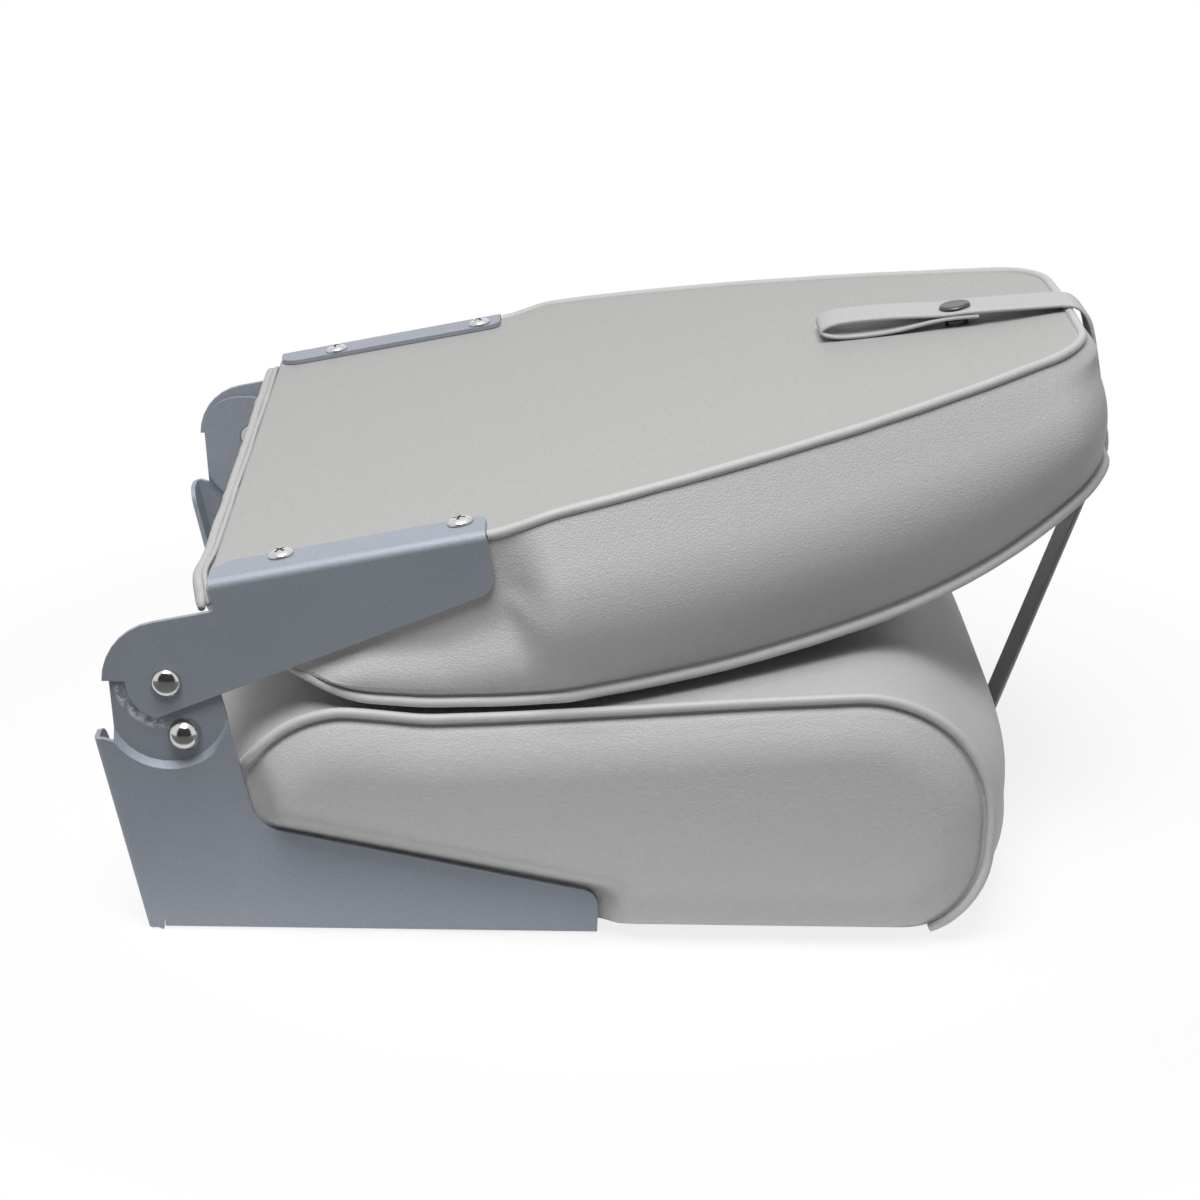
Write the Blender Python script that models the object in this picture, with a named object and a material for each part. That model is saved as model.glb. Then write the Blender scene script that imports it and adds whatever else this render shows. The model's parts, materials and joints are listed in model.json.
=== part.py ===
"""Folding fishing boat seat: two vinyl cushions on plywood boards, joined by riveted steel hinges.

Metres and degrees, +Z up, +X to the front of the seat, +Y to the sitter's left. The seat is modelled
folded, standing on its hinge bases, with the origin on the floor in the middle of its footprint.
"""

import math

import bmesh
import bpy
import numpy as np
from mathutils import Matrix, Vector

# Clearances
GAP = 0.0003  # between pieces that touch
CUSHION_GAP = 0.0013  # between the two cushions when folded
FOAM_GAP = 0.0013  # between foam and cover
RUNNING_GAP = 0.00008  # round a rivet or a screw

# Sheet steel of the hinges
SHEET_T = 0.0025
BEND_R = 0.0045  # outside radius of a bend
SPAN = 0.368  # between the outer faces of the two hinges

# Hinge base, from its rear bottom corner
REAR_X = -0.2210
BASE_LENGTH = 0.207
BASE_FRONT_H = 0.0218
BASE_FRONT_R = 0.008
BASE_NECK_X = 0.0515
BASE_NECK_H = 0.0530
BASE_NECK_R = 0.014
BASE_NECK_LEAN = 13.7  # of the neck's front edge, from upright
BASE_FLANGE_W = 0.030
BASE_REAR_LEAN = 12.7  # of the rear edge, from upright
REAR_FLANGE_W = 0.020
REAR_FLANGE_R = 0.009
RELIEF = 0.008  # from the rear corner to the flange under the board

# Ear of the hinge base, set in behind the arm
EAR_REAR = 0.0275  # from the pivot to its rear edge
EAR_TOP = 0.0225
EAR_CORNER_R = 0.020
JOGGLE_R = 0.0267
JOGGLE_DROP = 0.0129  # of the set-in's centre below the pivot
JOGGLE_RUN = 0.0029
TIP_H = 0.0945  # of the rear flange's upper end

# Hinge arm, from the pivot, along and across its top flange
PIVOT_X = 0.0125  # from the base's rear corner
FOLD_SLOPE = 11.8  # of the folded back
HUB_R = 0.0288
HUB_LOW_R = 0.0185
NOTCH_ANGLE = 168.2  # of the step that meets the stop
ARM_LOW = 0.0144  # from the pivot to the lower edge
ARM_TAPER = 10.9
ARM_REAR = 0.0285
ARM_LENGTH = 0.1245
ARM_TOP = 0.0431
ARM_CORNER_R = 0.009
ARM_FLANGE_W = 0.0234
FLANGE_REAR_R = 0.012
FLANGE_FRONT_R = 0.0055

# Rivets
PIVOT_HEAD_R = 0.0067
PIVOT_HEAD_H = 0.0042
STOP_HEAD_R = 0.00755
STOP_HEAD_H = 0.0075
STOP_OUT = 0.0267  # from the pivot
STOP_ANGLE = -74.8
SHANK_R = 0.004
CLENCH_R = 0.0062
CLENCH_H = 0.0022

# Seat cushion, to the seams
COVER_T = 0.0012
SEAT_REAR = 0.0395  # from the base's rear corner
SEAT_LENGTH = 0.3445
SEAT_REAR_H = 0.1054
SEAT_FRONT_H = 0.1213
SEAT_DIP = 0.0046  # of the top seam under the folded back
SEAT_DIP_START = 0.085  # from the base's rear corner
SEAT_DIP_AT = 0.135
SEAT_DIP_END = 0.330
SEAT_SIDE_LOW_R = 0.018
SEAT_REAR_LOW_R = 0.008
SEAT_FRONT_LOW_R = 0.045
SEAT_FRONT_R = 0.060
SEAT_REAR_R = 0.055
SEAT_CROWN = 0.010
SEAT_PRESSED = 0.0038  # what is left of the crown under the folded back
SEAT_PRESS_END = 0.225  # from the base's rear corner
PRESS_FADE = 0.100
FRONT_SWELL = 0.021
REAR_SWELL = 0.022
SIDE_SWELL = 0.005
SWELL_RUN = 0.030  # over which the side swells above the hinge base
RETURN_W = 0.010  # of the vinyl turned in under a board

# Boards and their tee nuts
SEAT_BOARD_T = 0.012
BACK_BOARD_T = 0.010
NUT_PATTERN = 0.127
NUT_FROM_REAR = 0.205  # the pattern's middle, from the base's rear corner
NUT_BARREL_R = 0.0040
NUT_BORE_R = 0.0026
NUT_FLANGE_R = 0.0095
NUT_FLANGE_T = 0.0013

# Back cushion, to the seams, from the rear end of the arm's flange
PANEL_T = 0.0012
BACK_HEM = 0.002  # that the panel reaches past the flange
BACK_LENGTH = 0.4124
BACK_BOW = 0.0012
FRONT_BOW = 0.0075  # of the front panel's top end, in its middle
BACK_SHOULDER = 0.147  # where the sides start to taper
BACK_SHOULDER_R = 0.030
WAIST_AT = 0.488  # share of the taper's length where it gets steeper
BACK_WAIST_IN = 0.0339  # from the hinges' outer faces
WAIST_ROUND = 2.826  # radius there, in lengths of the taper
BACK_TOP_IN = 0.112  # of the top corners, from the hinges' outer faces
BACK_TOP_R = 0.045
BACK_ELBOW = 0.012  # run of the swelling past the arms
FRONT_WIDER = 0.004  # of the front panel than the rear one, each side
FRONT_START = 0.012  # of the front panel's hinge end
FRONT_START_IN = 0.012  # from the hinges' outer faces
FRONT_FULL = 0.055  # where the front panel has its full width
EDGE_START = 0.0333  # depth of the front seam at the hinge end
EDGE_TURN_AT = 0.045
EDGE_TURN = 0.0580
EDGE_LOW_AT = 0.075
EDGE_LOW = 0.0680
EDGE_PRESSED_AT = 0.107
EDGE_PRESSED = 0.0744
EDGE_MID_AT = 0.180
EDGE_MID = 0.0826
EDGE_DEEP_AT = 0.235
EDGE_DEEP = 0.0858
EDGE_HIGH_IN = 0.0474  # from the top end
EDGE_HIGH = 0.0765
EDGE_TOP = 0.0600
BACK_CROWN = 0.008
BACK_PRESSED = 0.0038
BACK_PRESS_END = 0.200
BOX_SWELL = 0.0065
HEM_R = 0.0036

# Welts
WELT_R = 0.0023

# Screws
ARM_SCREW_AT = (0.0319, 0.1130)  # from the flange's rear end
ARM_SCREW_IN = 0.0177  # from the hinge's outer face
ARM_SCREW_HEAD_R = 0.00585
ARM_SCREW_HEAD_H = 0.0030
ARM_SCREW_R = 0.0022
ARM_SCREW_L = 0.0125
CROSS_W = 0.0014
CROSS_L = 0.0058
CROSS_H = 0.0016
BASE_SCREW_AT = (0.066, 0.124, 0.182)  # from the base's rear corner
BASE_SCREW_IN = 0.0235
BASE_SCREW_HEAD_R = 0.0042
BASE_SCREW_R = 0.0020
BASE_SCREW_L = 0.0125

# Strap and snap
STRAP_W = 0.025
STRAP_T = 0.0020
STRAP_END_X = 0.290  # under the board, from the base's rear corner
STRAP_BEND_X = 0.3785
STRAP_BEND_R = 0.028
STRAP_Y = -0.0042  # where it crosses the back's top end
STRAP_SKEW = 14.6
SNAP_BACK = 0.0534  # from the back's top end to the snap
LOOP_BACK = 0.1204  # from the back's top end to the end of the pull loop
LOOP_H = 0.0092
TAIL = 0.010  # of the folded strap past the snap
STUD_R = 0.0060
STUD_T = 0.0010
STUD_POST_R = 0.0024
STUD_POST_H = 0.0023
SOCKET_R = 0.0062
SOCKET_H = 0.0026
CAP_R = 0.0078
CAP_H = 0.0020
CAP_POST_R = 0.0017
PIN_R = 0.0016
PIN_L = 0.006
ANCHOR_HEAD_R = 0.0060
ANCHOR_HEAD_H = 0.0010

# Resolution
ARC_STEP = 15.0
ARC_LENGTH = 0.035  # longest piece of a wide arc
ROUND_SIDES = 24
SMALL_SIDES = 16

# Values that follow from the ones above
HALF_SPAN = SPAN / 2
PLATE_IN = HALF_SPAN - SHEET_T  # inner face of the arm and of the base's plate
EAR_OUT = PLATE_IN - GAP
EAR_IN = EAR_OUT - SHEET_T
SEAT_BOTTOM = SHEET_T + GAP
SEAT_HALF = PLATE_IN - 2 * GAP
SEAT_BOARD_Z = SEAT_BOTTOM + COVER_T + GAP
SEAT_BOARD_TOP = SEAT_BOARD_Z + SEAT_BOARD_T
SEAT_REAR_X = REAR_X + SEAT_REAR
SEAT_FRONT_X = SEAT_REAR_X + SEAT_LENGTH
PIVOT_WORLD_X = REAR_X + PIVOT_X
PANEL_V = ARM_TOP - SHEET_T - GAP  # rear face of the back, over the pivot
COVER_REAR = PANEL_T + GAP
BACK_BOARD_D = COVER_REAR + COVER_T + GAP
BACK_BOARD_END = BACK_BOARD_D + BACK_BOARD_T
WELT_OFF = WELT_R * math.sqrt(0.5) + GAP  # of a welt's middle from its seam, each way
NUT_X = REAR_X + NUT_FROM_REAR
BACK_HALF = SEAT_HALF - COVER_T / 2  # of the rear panel, between the arms
FRONT_START_HALF = HALF_SPAN - FRONT_START_IN
TAPER_L = BACK_LENGTH - BACK_SHOULDER
SLOPE = math.radians(FOLD_SLOPE)


def ease(t):
    """Smooth step from 0 to 1."""
    t = min(max(t, 0.0), 1.0)
    return t * t * (3 - 2 * t)


def rounded(corners, closed=True):
    """Points of an outline whose corners (a, b, radius) are arcs."""
    points = []
    count = len(corners)
    for i, (a, b, r) in enumerate(corners):
        here = np.array([a, b])
        if r == 0 or (not closed and i in (0, count - 1)):
            points.append(here)
            continue
        before = np.array(corners[i - 1][:2]) - here
        after = np.array(corners[(i + 1) % count][:2]) - here
        before /= np.linalg.norm(before)
        after /= np.linalg.norm(after)
        opening = math.acos(np.clip(before @ after, -1, 1))
        reach = r / math.tan(opening / 2)
        bisector = (before + after) / np.linalg.norm(before + after)
        centre = here + bisector * r / math.sin(opening / 2)
        first = here + before * reach - centre
        last = here + after * reach - centre
        turn = math.pi - opening
        sense = np.sign(first[0] * last[1] - first[1] * last[0])
        steps = max(2, round(math.degrees(turn) / ARC_STEP), round(turn * r / ARC_LENGTH))
        for k in range(steps + 1):
            angle = sense * turn * k / steps
            c, s = math.cos(angle), math.sin(angle)
            points.append(centre + np.array([c * first[0] - s * first[1], s * first[0] + c * first[1]]))
    return points


def divided(points, step):
    """A closed outline with its long sides cut into pieces no longer than step."""
    out = []
    for i, here in enumerate(points):
        after = points[(i + 1) % len(points)]
        cuts = max(1, math.ceil(np.linalg.norm(after - here) / step - 1e-6))
        out += [here + (after - here) * k / cuts for k in range(cuts)]
    return out


def normals_of(points, closed=True):
    """Unit normals on the right of the direction of travel, which is outside a counter-clockwise loop."""
    points = np.array(points)
    if closed:
        along = np.roll(points, -1, axis=0) - np.roll(points, 1, axis=0)
    else:
        along = np.gradient(points, axis=0)
    along /= np.linalg.norm(along, axis=1)[:, None]
    return np.stack([along[:, 1], -along[:, 0]], axis=1)


def smooth_curve(knots, t):
    """Cubic through the knots (position, value), read at t."""
    at = np.array([k[0] for k in knots])
    value = np.array([k[1] for k in knots])
    slope = np.gradient(value, at)
    t = min(max(t, at[0]), at[-1])
    i = min(int(np.searchsorted(at, t, side="right")) - 1, len(at) - 2)
    width = at[i + 1] - at[i]
    f = (t - at[i]) / width
    return float(
        (2 * f**3 - 3 * f**2 + 1) * value[i]
        + (f**3 - 2 * f**2 + f) * width * slope[i]
        + (3 * f**2 - 2 * f**3) * value[i + 1]
        + (f**3 - f**2) * width * slope[i + 1]
    )


def smooth_route(knots, per_span):
    """Points on a smooth curve through the knots of a strap's route."""
    knots = [np.array(k) for k in knots]
    ends = [2 * knots[0] - knots[1], *knots, 2 * knots[-1] - knots[-2]]
    points = []
    for a, b, c, d in zip(ends, ends[1:], ends[2:], ends[3:]):
        for k in range(per_span):
            f = k / per_span
            bend = (2 * a - 5 * b + 4 * c - d) * f * f + (3 * b - a - 3 * c + d) * f**3
            points.append((2 * b + (c - a) * f + bend) / 2)
    return points + [knots[-1]]


def material(name, colour, roughness, metallic=0.0):
    made = bpy.data.materials.new(name)
    made.use_nodes = True
    shader = made.node_tree.nodes["Principled BSDF"]
    shader.inputs["Base Color"].default_value = (*colour, 1.0)
    shader.inputs["Roughness"].default_value = roughness
    shader.inputs["Metallic"].default_value = metallic
    return made


def add(name, bm, look, parent=None):
    """A node from a bmesh given in its parent's frame."""
    bmesh.ops.recalc_face_normals(bm, faces=bm.faces)
    mesh = bpy.data.meshes.new(name)
    bm.to_mesh(mesh)
    bm.free()
    mesh.shade_smooth()
    mesh.set_sharp_from_angle(angle=math.radians(35))
    node = bpy.data.objects.new(name, mesh)
    bpy.context.scene.collection.objects.link(node)
    node.data.materials.append(look)
    node.parent = parent
    return node


def axis_empty(name, location, turn=0.0):
    empty = bpy.data.objects.new(name, None)
    empty.empty_display_size = 0.03
    empty.location = location
    empty.rotation_euler = (0.0, turn, 0.0)
    bpy.context.scene.collection.objects.link(empty)
    return empty


def cut(node, bm):
    """Takes the solids of a bmesh, given in the node's frame, out of the node."""
    bmesh.ops.recalc_face_normals(bm, faces=bm.faces)
    mesh = bpy.data.meshes.new(node.name + "_cutter")
    bm.to_mesh(mesh)
    bm.free()
    cutter = bpy.data.objects.new(mesh.name, mesh)
    cutter.hide_render = True
    cutter.display_type = "WIRE"
    cutter.parent = node.parent
    bpy.context.scene.collection.objects.link(cutter)
    boolean = node.modifiers.new("cut", "BOOLEAN")
    boolean.operation = "DIFFERENCE"
    boolean.solver = "EXACT"
    boolean.object = cutter


def loft(loops, fan=False):
    """A closed solid through loops of equal count, with its ends filled flat or as a fan from the middle."""
    bm = bmesh.new()
    rows = [[bm.verts.new(p) for p in loop] for loop in loops]
    count = len(rows[0])
    for low, high in zip(rows, rows[1:]):
        for i in range(count):
            j = (i + 1) % count
            left = low[i].co.y + low[j].co.y + high[i].co.y + high[j].co.y > 0
            a, b, c, d = (low[j], high[j], high[i], low[i]) if left else (low[i], low[j], high[j], high[i])
            bm.faces.new((a, b, c))
            bm.faces.new((a, c, d))
    for row in (rows[0], rows[-1]):
        if fan:
            middle = bm.verts.new(sum((v.co for v in row), Vector()) / count)
            for i in range(count):
                bm.faces.new((row[i], row[(i + 1) % count], middle))
        else:
            bm.faces.new(row)
    return bm


def prism(outline, low, high):
    """Outline points (x, y) between two heights."""
    return loft([[(x, y, h) for x, y in outline] for h in (low, high)])


def box(low, high):
    (x0, y0, z0), (x1, y1, z1) = low, high
    return prism([(x0, y0), (x1, y0), (x1, y1), (x0, y1)], z0, z1)


def turned(profile, sides, frame=None):
    """A solid of revolution about Z from (radius, height) points that run down its outer side."""
    bm = bmesh.new()
    spine = [bm.verts.new((r, 0.0, z)) for r, z in profile]
    edges = [bm.edges.new(pair) for pair in zip(spine, spine[1:])]
    bmesh.ops.spin(
        bm, geom=spine + edges, axis=(0, 0, 1), cent=(0, 0, 0), steps=sides, angle=2 * math.pi, use_merge=True
    )
    bmesh.ops.remove_doubles(bm, verts=bm.verts, dist=1e-6)
    if frame:
        bm.transform(frame)
    return bm


def cylinder(radius, low, high, sides, frame=None):
    return turned([(0, high), (radius, high), (radius, low), (0, low)], sides, frame)


def joined(parts):
    """One bmesh from several, for a cutter of separate solids."""
    whole = bmesh.new()
    for part in parts:
        mesh = bpy.data.meshes.new("part")
        part.to_mesh(mesh)
        part.free()
        whole.from_mesh(mesh)
        bpy.data.meshes.remove(mesh)
    return whole


def side_frame(x, side, y, z):
    """A frame at a point on one hinge whose +Z points out to that side."""
    return Matrix.Translation((x, side * y, z)) @ Matrix.Rotation(-side * math.pi / 2, 4, "X")


def sheet(outer, inner, faces, side):
    """Bent sheet from matching outer and inner points. Faces share edges, and open edges get walls."""
    bm = bmesh.new()
    skins = [[bm.verts.new((x, side * y, z)) for x, y, z in skin] for skin in (outer, inner)]
    used = {}
    for face in faces:
        bm.faces.new([skins[0][i] for i in face])
        bm.faces.new([skins[1][i] for i in reversed(face)])
        for pair in zip(face, face[1:] + face[:1]):
            used.setdefault(tuple(sorted(pair)), []).append(pair)
    for pairs in used.values():
        if len(pairs) == 1:
            a, b = pairs[0]
            bm.faces.new((skins[0][b], skins[0][a], skins[1][a], skins[1][b]))
    return bm


class Sheet:
    """Collects the outer and inner points and the faces of one bent sheet on the left hinge."""

    def __init__(self):
        self.outer, self.inner, self.faces = [], [], []

    def flat(self, points, y):
        """Points (x, z) of the upright plate whose outer face is at y."""
        first = len(self.outer)
        self.outer += [(x, y, z) for x, z in points]
        self.inner += [(x, y - SHEET_T, z) for x, z in points]
        return list(range(first, len(self.outer)))

    def flange(self, start, end, out, width, corner_radii, ids):
        """Bends the fold line from start to end inwards, towards the plane direction out."""
        start, end, out = np.array(start), np.array(end), np.array(out)
        along = (end - start) / np.linalg.norm(end - start)
        row = ids
        for k in range(1, 4):
            angle = math.pi / 2 * k / 3
            rise, back = math.sin(angle), 1 - math.cos(angle)
            made = []
            for corner in (start, end):
                made.append(len(self.outer))
                a = corner + out * BEND_R * rise
                b = corner + out * (BEND_R - SHEET_T) * rise
                self.outer.append((a[0], HALF_SPAN - BEND_R * back, a[1]))
                inner_y = HALF_SPAN - SHEET_T - (BEND_R - SHEET_T) * back
                self.inner.append((b[0], inner_y, b[1]))
            self.faces.append([row[0], row[1], made[1], made[0]])
            row = made
        edge = rounded(
            [
                (0.0, BEND_R, 0),
                (0.0, width, corner_radii[0]),
                (np.linalg.norm(end - start), width, corner_radii[1]),
                (np.linalg.norm(end - start), BEND_R, 0),
            ],
            closed=False,
        )[1:-1]
        made = []
        for run, inward in edge:
            made.append(len(self.outer))
            a = start + along * run + out * BEND_R
            b = a - out * SHEET_T
            self.outer.append((a[0], HALF_SPAN - inward, a[1]))
            self.inner.append((b[0], HALF_SPAN - inward, b[1]))
        self.faces.append([row[0]] + made + [row[1]])


def seat_top(x):
    """Height of the seat's top seam line."""
    share = (x - SEAT_REAR_X) / SEAT_LENGTH
    return SEAT_BOTTOM + SEAT_REAR_H + (SEAT_FRONT_H - SEAT_REAR_H) * share - seat_dip(x)


def seat_dip(x):
    """How far the folded back presses the seat's top seam down."""
    at = x - REAR_X
    if at < SEAT_DIP_AT:
        return SEAT_DIP * ease((at - SEAT_DIP_START) / (SEAT_DIP_AT - SEAT_DIP_START))
    return SEAT_DIP * ease((SEAT_DIP_END - at) / (SEAT_DIP_END - SEAT_DIP_AT))


def edge_depth(s):
    """Depth of the back's front seam under its rear face."""
    knots = (
        (FRONT_START, EDGE_START),
        (EDGE_TURN_AT, EDGE_TURN),
        (EDGE_LOW_AT, EDGE_LOW),
        (EDGE_PRESSED_AT, EDGE_PRESSED),
        (EDGE_MID_AT, EDGE_MID),
        (EDGE_DEEP_AT, EDGE_DEEP),
        (BACK_LENGTH - EDGE_HIGH_IN, EDGE_HIGH),
        (BACK_LENGTH, EDGE_TOP),
    )
    return smooth_curve(knots, s)


def pivot_height():
    """The hinge is as high as the two cushions need when they lie on each other."""
    u = ARM_REAR + EDGE_PRESSED_AT
    v = PANEL_V - EDGE_PRESSED
    x = PIVOT_WORLD_X + u * math.cos(SLOPE) - v * math.sin(SLOPE)
    rise = u * math.sin(SLOPE) + v * math.cos(SLOPE)
    return seat_top(x) + SEAT_PRESSED + BACK_PRESSED + CUSHION_GAP - rise


PIVOT_Z = pivot_height()


def back_point(s, v):
    """World (x, z) of a point given along the folded back and over its rear face."""
    u, w = ARM_REAR + s, PANEL_V + v
    return np.array(
        [
            PIVOT_WORLD_X + u * math.cos(SLOPE) - w * math.sin(SLOPE),
            PIVOT_Z + u * math.sin(SLOPE) + w * math.cos(SLOPE),
        ]
    )


def neck_x(z):
    """Front edge of the hinge base's neck at a height."""
    return REAR_X + BASE_NECK_X - (z - BASE_NECK_H) * math.tan(math.radians(BASE_NECK_LEAN))


def base_edge(x):
    """Top edge of the hinge base's long plate."""
    share = (x - REAR_X - BASE_NECK_X) / (BASE_LENGTH - BASE_NECK_X)
    return BASE_NECK_H + (BASE_FRONT_H - BASE_NECK_H) * share


def clear_of_base(x, z):
    """How far a point of the seat's side lies outside the hinge base's plate."""
    past_front = x - REAR_X - BASE_LENGTH - SWELL_RUN
    return max(past_front, min(z - base_edge(x) - SWELL_RUN / 2, x - neck_x(z) - WELT_R))


def seat_profile(inset):
    """Closed side outline of the seat, counter-clockwise in (x, z)."""
    top_rear, top_front = seat_top(SEAT_REAR_X), seat_top(SEAT_FRONT_X)
    corners = [
        (SEAT_REAR_X, SEAT_BOTTOM, SEAT_REAR_LOW_R),
        (SEAT_FRONT_X, SEAT_BOTTOM, SEAT_FRONT_LOW_R),
        (SEAT_FRONT_X, top_front, SEAT_FRONT_R),
        (SEAT_REAR_X, top_rear, SEAT_REAR_R),
    ]
    points = divided(rounded(corners), PRESS_FADE / 2.5)
    normals = normals_of(points)
    for point, normal in zip(points, normals):
        point[1] -= seat_dip(point[0]) * max(normal[1], 0)
    return np.array(points) - normals * inset, normals


def seat_swell(x, normal):
    fade = ease((x - REAR_X - SEAT_PRESS_END) / PRESS_FADE)
    crown = SEAT_PRESSED + (SEAT_CROWN - SEAT_PRESSED) * fade
    ends = FRONT_SWELL * max(normal[0], 0) ** 3 + REAR_SWELL * max(-normal[0], 0) ** 2
    return crown * max(normal[1], 0) ** 2 + ends


def seat_side(x, z, inset):
    """Half width of the seat at a point of its side."""
    under = min(max(SEAT_SIDE_LOW_R - (z - SEAT_BOTTOM), 0.0), SEAT_SIDE_LOW_R)
    tuck = SEAT_SIDE_LOW_R - math.sqrt(SEAT_SIDE_LOW_R**2 - under**2)
    return SEAT_HALF - inset - tuck + SIDE_SWELL * ease(clear_of_base(x, z) / SWELL_RUN)


def seat_form(inset, floor):
    """The seat's swollen shape, drawn in by inset and cut off level at the floor height."""
    profile, normals = seat_profile(inset)
    middle = profile.mean(axis=0)
    loops = []
    for share in (-1.0, -0.88, -0.5, 0.5, 0.88, 1.0):
        loop = []
        for (x, z), normal in zip(profile, normals):
            swell = seat_swell(x, normal) * (1 - share**4)
            y = share * seat_side(x, z, inset)
            loop.append((x + normal[0] * swell, y, max(z + normal[1] * swell, floor)))
        loops.append(loop)
    for scale in (0.93, 0.8, 0.4):
        ring = []
        for x, z in middle + (profile - middle) * scale:
            puff = SIDE_SWELL * (1 - scale) * ease(clear_of_base(x, z) / SWELL_RUN)
            ring.append((x, seat_side(x, z, inset) + puff, max(z, floor)))
        loops.append(ring)
        loops.insert(0, [(x, -y, z) for x, y, z in ring])
    return loft(loops, fan=True)


def back_outline(front):
    """Half outline of the back, (s, y) from its hinge end to its top middle, for one of its faces."""
    wider = FRONT_WIDER if front else 0.0
    if front:
        start = [(FRONT_START, FRONT_START_HALF, 0), (FRONT_FULL, BACK_HALF + wider, BACK_SHOULDER_R)]
    else:
        start = [(-BACK_HEM, BACK_HALF, 0)]
    top = [
        (BACK_SHOULDER, BACK_HALF + wider, BACK_SHOULDER_R),
        (BACK_SHOULDER + WAIST_AT * TAPER_L, HALF_SPAN - BACK_WAIST_IN + wider, WAIST_ROUND * TAPER_L),
        (BACK_LENGTH - BACK_BOW, HALF_SPAN - BACK_TOP_IN + wider, BACK_TOP_R),
        (BACK_LENGTH, 0.0, 0),
    ]
    return np.array(rounded(start + top, closed=False))


def back_half(front, stations):
    """The half outline read at shared stations, so that the two faces match point for point."""
    outline = back_outline(front)
    corner = BACK_LENGTH - BACK_BOW - BACK_TOP_R
    first = outline[0]
    hinge_end = [(first[0], first[1] * f) for f in (0.0, 0.4, 0.75)]
    sides = []
    for share in stations:
        s = first[0] + (corner - first[0]) * share
        sides.append((s, np.interp(s, outline[:, 0], outline[:, 1])))
    bow = FRONT_BOW if front else 0.0
    top_half = HALF_SPAN - BACK_TOP_IN
    end = [(s + bow * max(0.0, 1 - (y / top_half) ** 2), y) for s, y in outline if s > corner + GAP]
    return hinge_end + sides, end


def back_loop(front):
    """Closed outline of one face, with its outward normals."""
    near_arm, past_arm = np.linspace(0.0, 0.30, 5), np.linspace(0.44, 1.0, 7)
    stations = np.concatenate([near_arm, np.linspace(0.325, 0.375, 3), past_arm])
    half, end = back_half(front, stations)
    right = half + end[:-1]
    loop = right + [end[-1]] + [(s, -y) for s, y in reversed(right[1:])]
    return np.array(loop), -normals_of(loop)


def arm_low_depth(s):
    """Depth of the arm's lower edge under the back's rear face."""
    slope = math.tan(math.radians(ARM_TAPER))
    low = -ARM_LOW / math.cos(math.radians(ARM_TAPER)) + (ARM_REAR + s) * slope
    return PANEL_V - low


def back_crown(s):
    fade = ease((s - BACK_PRESS_END) / PRESS_FADE)
    return BACK_PRESSED + (BACK_CROWN - BACK_PRESSED) * fade


def back_form(inset):
    """The back's swollen shape in the arm's frame, drawn in by inset, from its rear face to its crown."""
    start = COVER_REAR + inset
    rear, rear_normals = back_loop(False)
    face, face_normals = back_loop(True)
    loops = []
    for share in (0.0, 0.14, 0.32, 0.55, 0.78, 0.93, 1.0):
        loop = []
        for a, na, b, nb in zip(rear, rear_normals, face, face_normals):
            edge = edge_depth(b[0])
            depth = start + (edge - inset - start) * share
            under_arm = a[0] < ARM_LENGTH + BACK_ELBOW and abs(a[1]) > FRONT_START_HALF
            low = min(arm_low_depth(a[0]) + BACK_ELBOW, edge * 0.6)
            spread = ease((depth - low) / (edge - low)) if under_arm else share
            s = a[0] + (b[0] - a[0]) * share**3
            y = a[1] + (b[1] - a[1]) * spread
            swell = BOX_SWELL * math.sin(math.pi * depth / edge) * (spread if under_arm else 1.0)
            out = swell * float(a[0] > FRONT_START) - inset
            normal = na + (nb - na) * spread
            normal /= np.linalg.norm(normal)
            y += normal[1] * out
            if under_arm:
                room = rear[3][1] - 1.25 * inset + max(0.0, depth - arm_low_depth(a[0]) - BACK_ELBOW)
                y = math.copysign(min(abs(y), room), y)
            loop.append((ARM_REAR + s + normal[0] * out, y, PANEL_V - depth))
        loops.append(loop)
    middle = np.array([BACK_LENGTH / 2, 0.0])
    for scale in (0.88, 0.6, 0.28):
        loop = []
        for s, y in middle + (face - middle) * scale:
            depth = edge_depth(s) + back_crown(s) * (1 - scale**2.4) - inset
            loop.append((ARM_REAR + s, y, PANEL_V - depth))
        loops.append(loop)
    return loft(loops, fan=True)


def back_flat(inset, low, high):
    """A flat piece with the outline of the back's rear face, between two depths."""
    loop, normals = back_loop(False)
    return prism([(ARM_REAR + s, y) for s, y in loop - normals * inset], PANEL_V - high, PANEL_V - low)


def welt(name, points, look, parent=None):
    """A round bead along points given in its parent's frame."""
    curve = bpy.data.curves.new(name, "CURVE")
    curve.dimensions = "3D"
    curve.bevel_depth = WELT_R
    curve.bevel_resolution = 1
    curve.use_fill_caps = True
    spline = curve.splines.new("POLY")
    spline.points.add(len(points) - 1)
    for point, place in zip(spline.points, points):
        point.co = (*place, 1.0)
    node = bpy.data.objects.new(name, curve)
    bpy.context.scene.collection.objects.link(node)
    curve.materials.append(look)
    node.parent = parent


def ribbon(route, sideways):
    """A flat strap along (x, z) points, with its middle at y = sideways(index)."""
    route = np.array(route)
    normals = normals_of(route, closed=False)
    loops = []
    for i, (p, n) in enumerate(zip(route, normals)):
        y = sideways(i)
        a, b = p + n * STRAP_T / 2, p - n * STRAP_T / 2
        low, high = y - STRAP_W / 2, y + STRAP_W / 2
        loops.append([(a[0], low, a[1]), (a[0], high, a[1]), (b[0], high, b[1]), (b[0], low, b[1])])
    return loft(loops)


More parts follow.
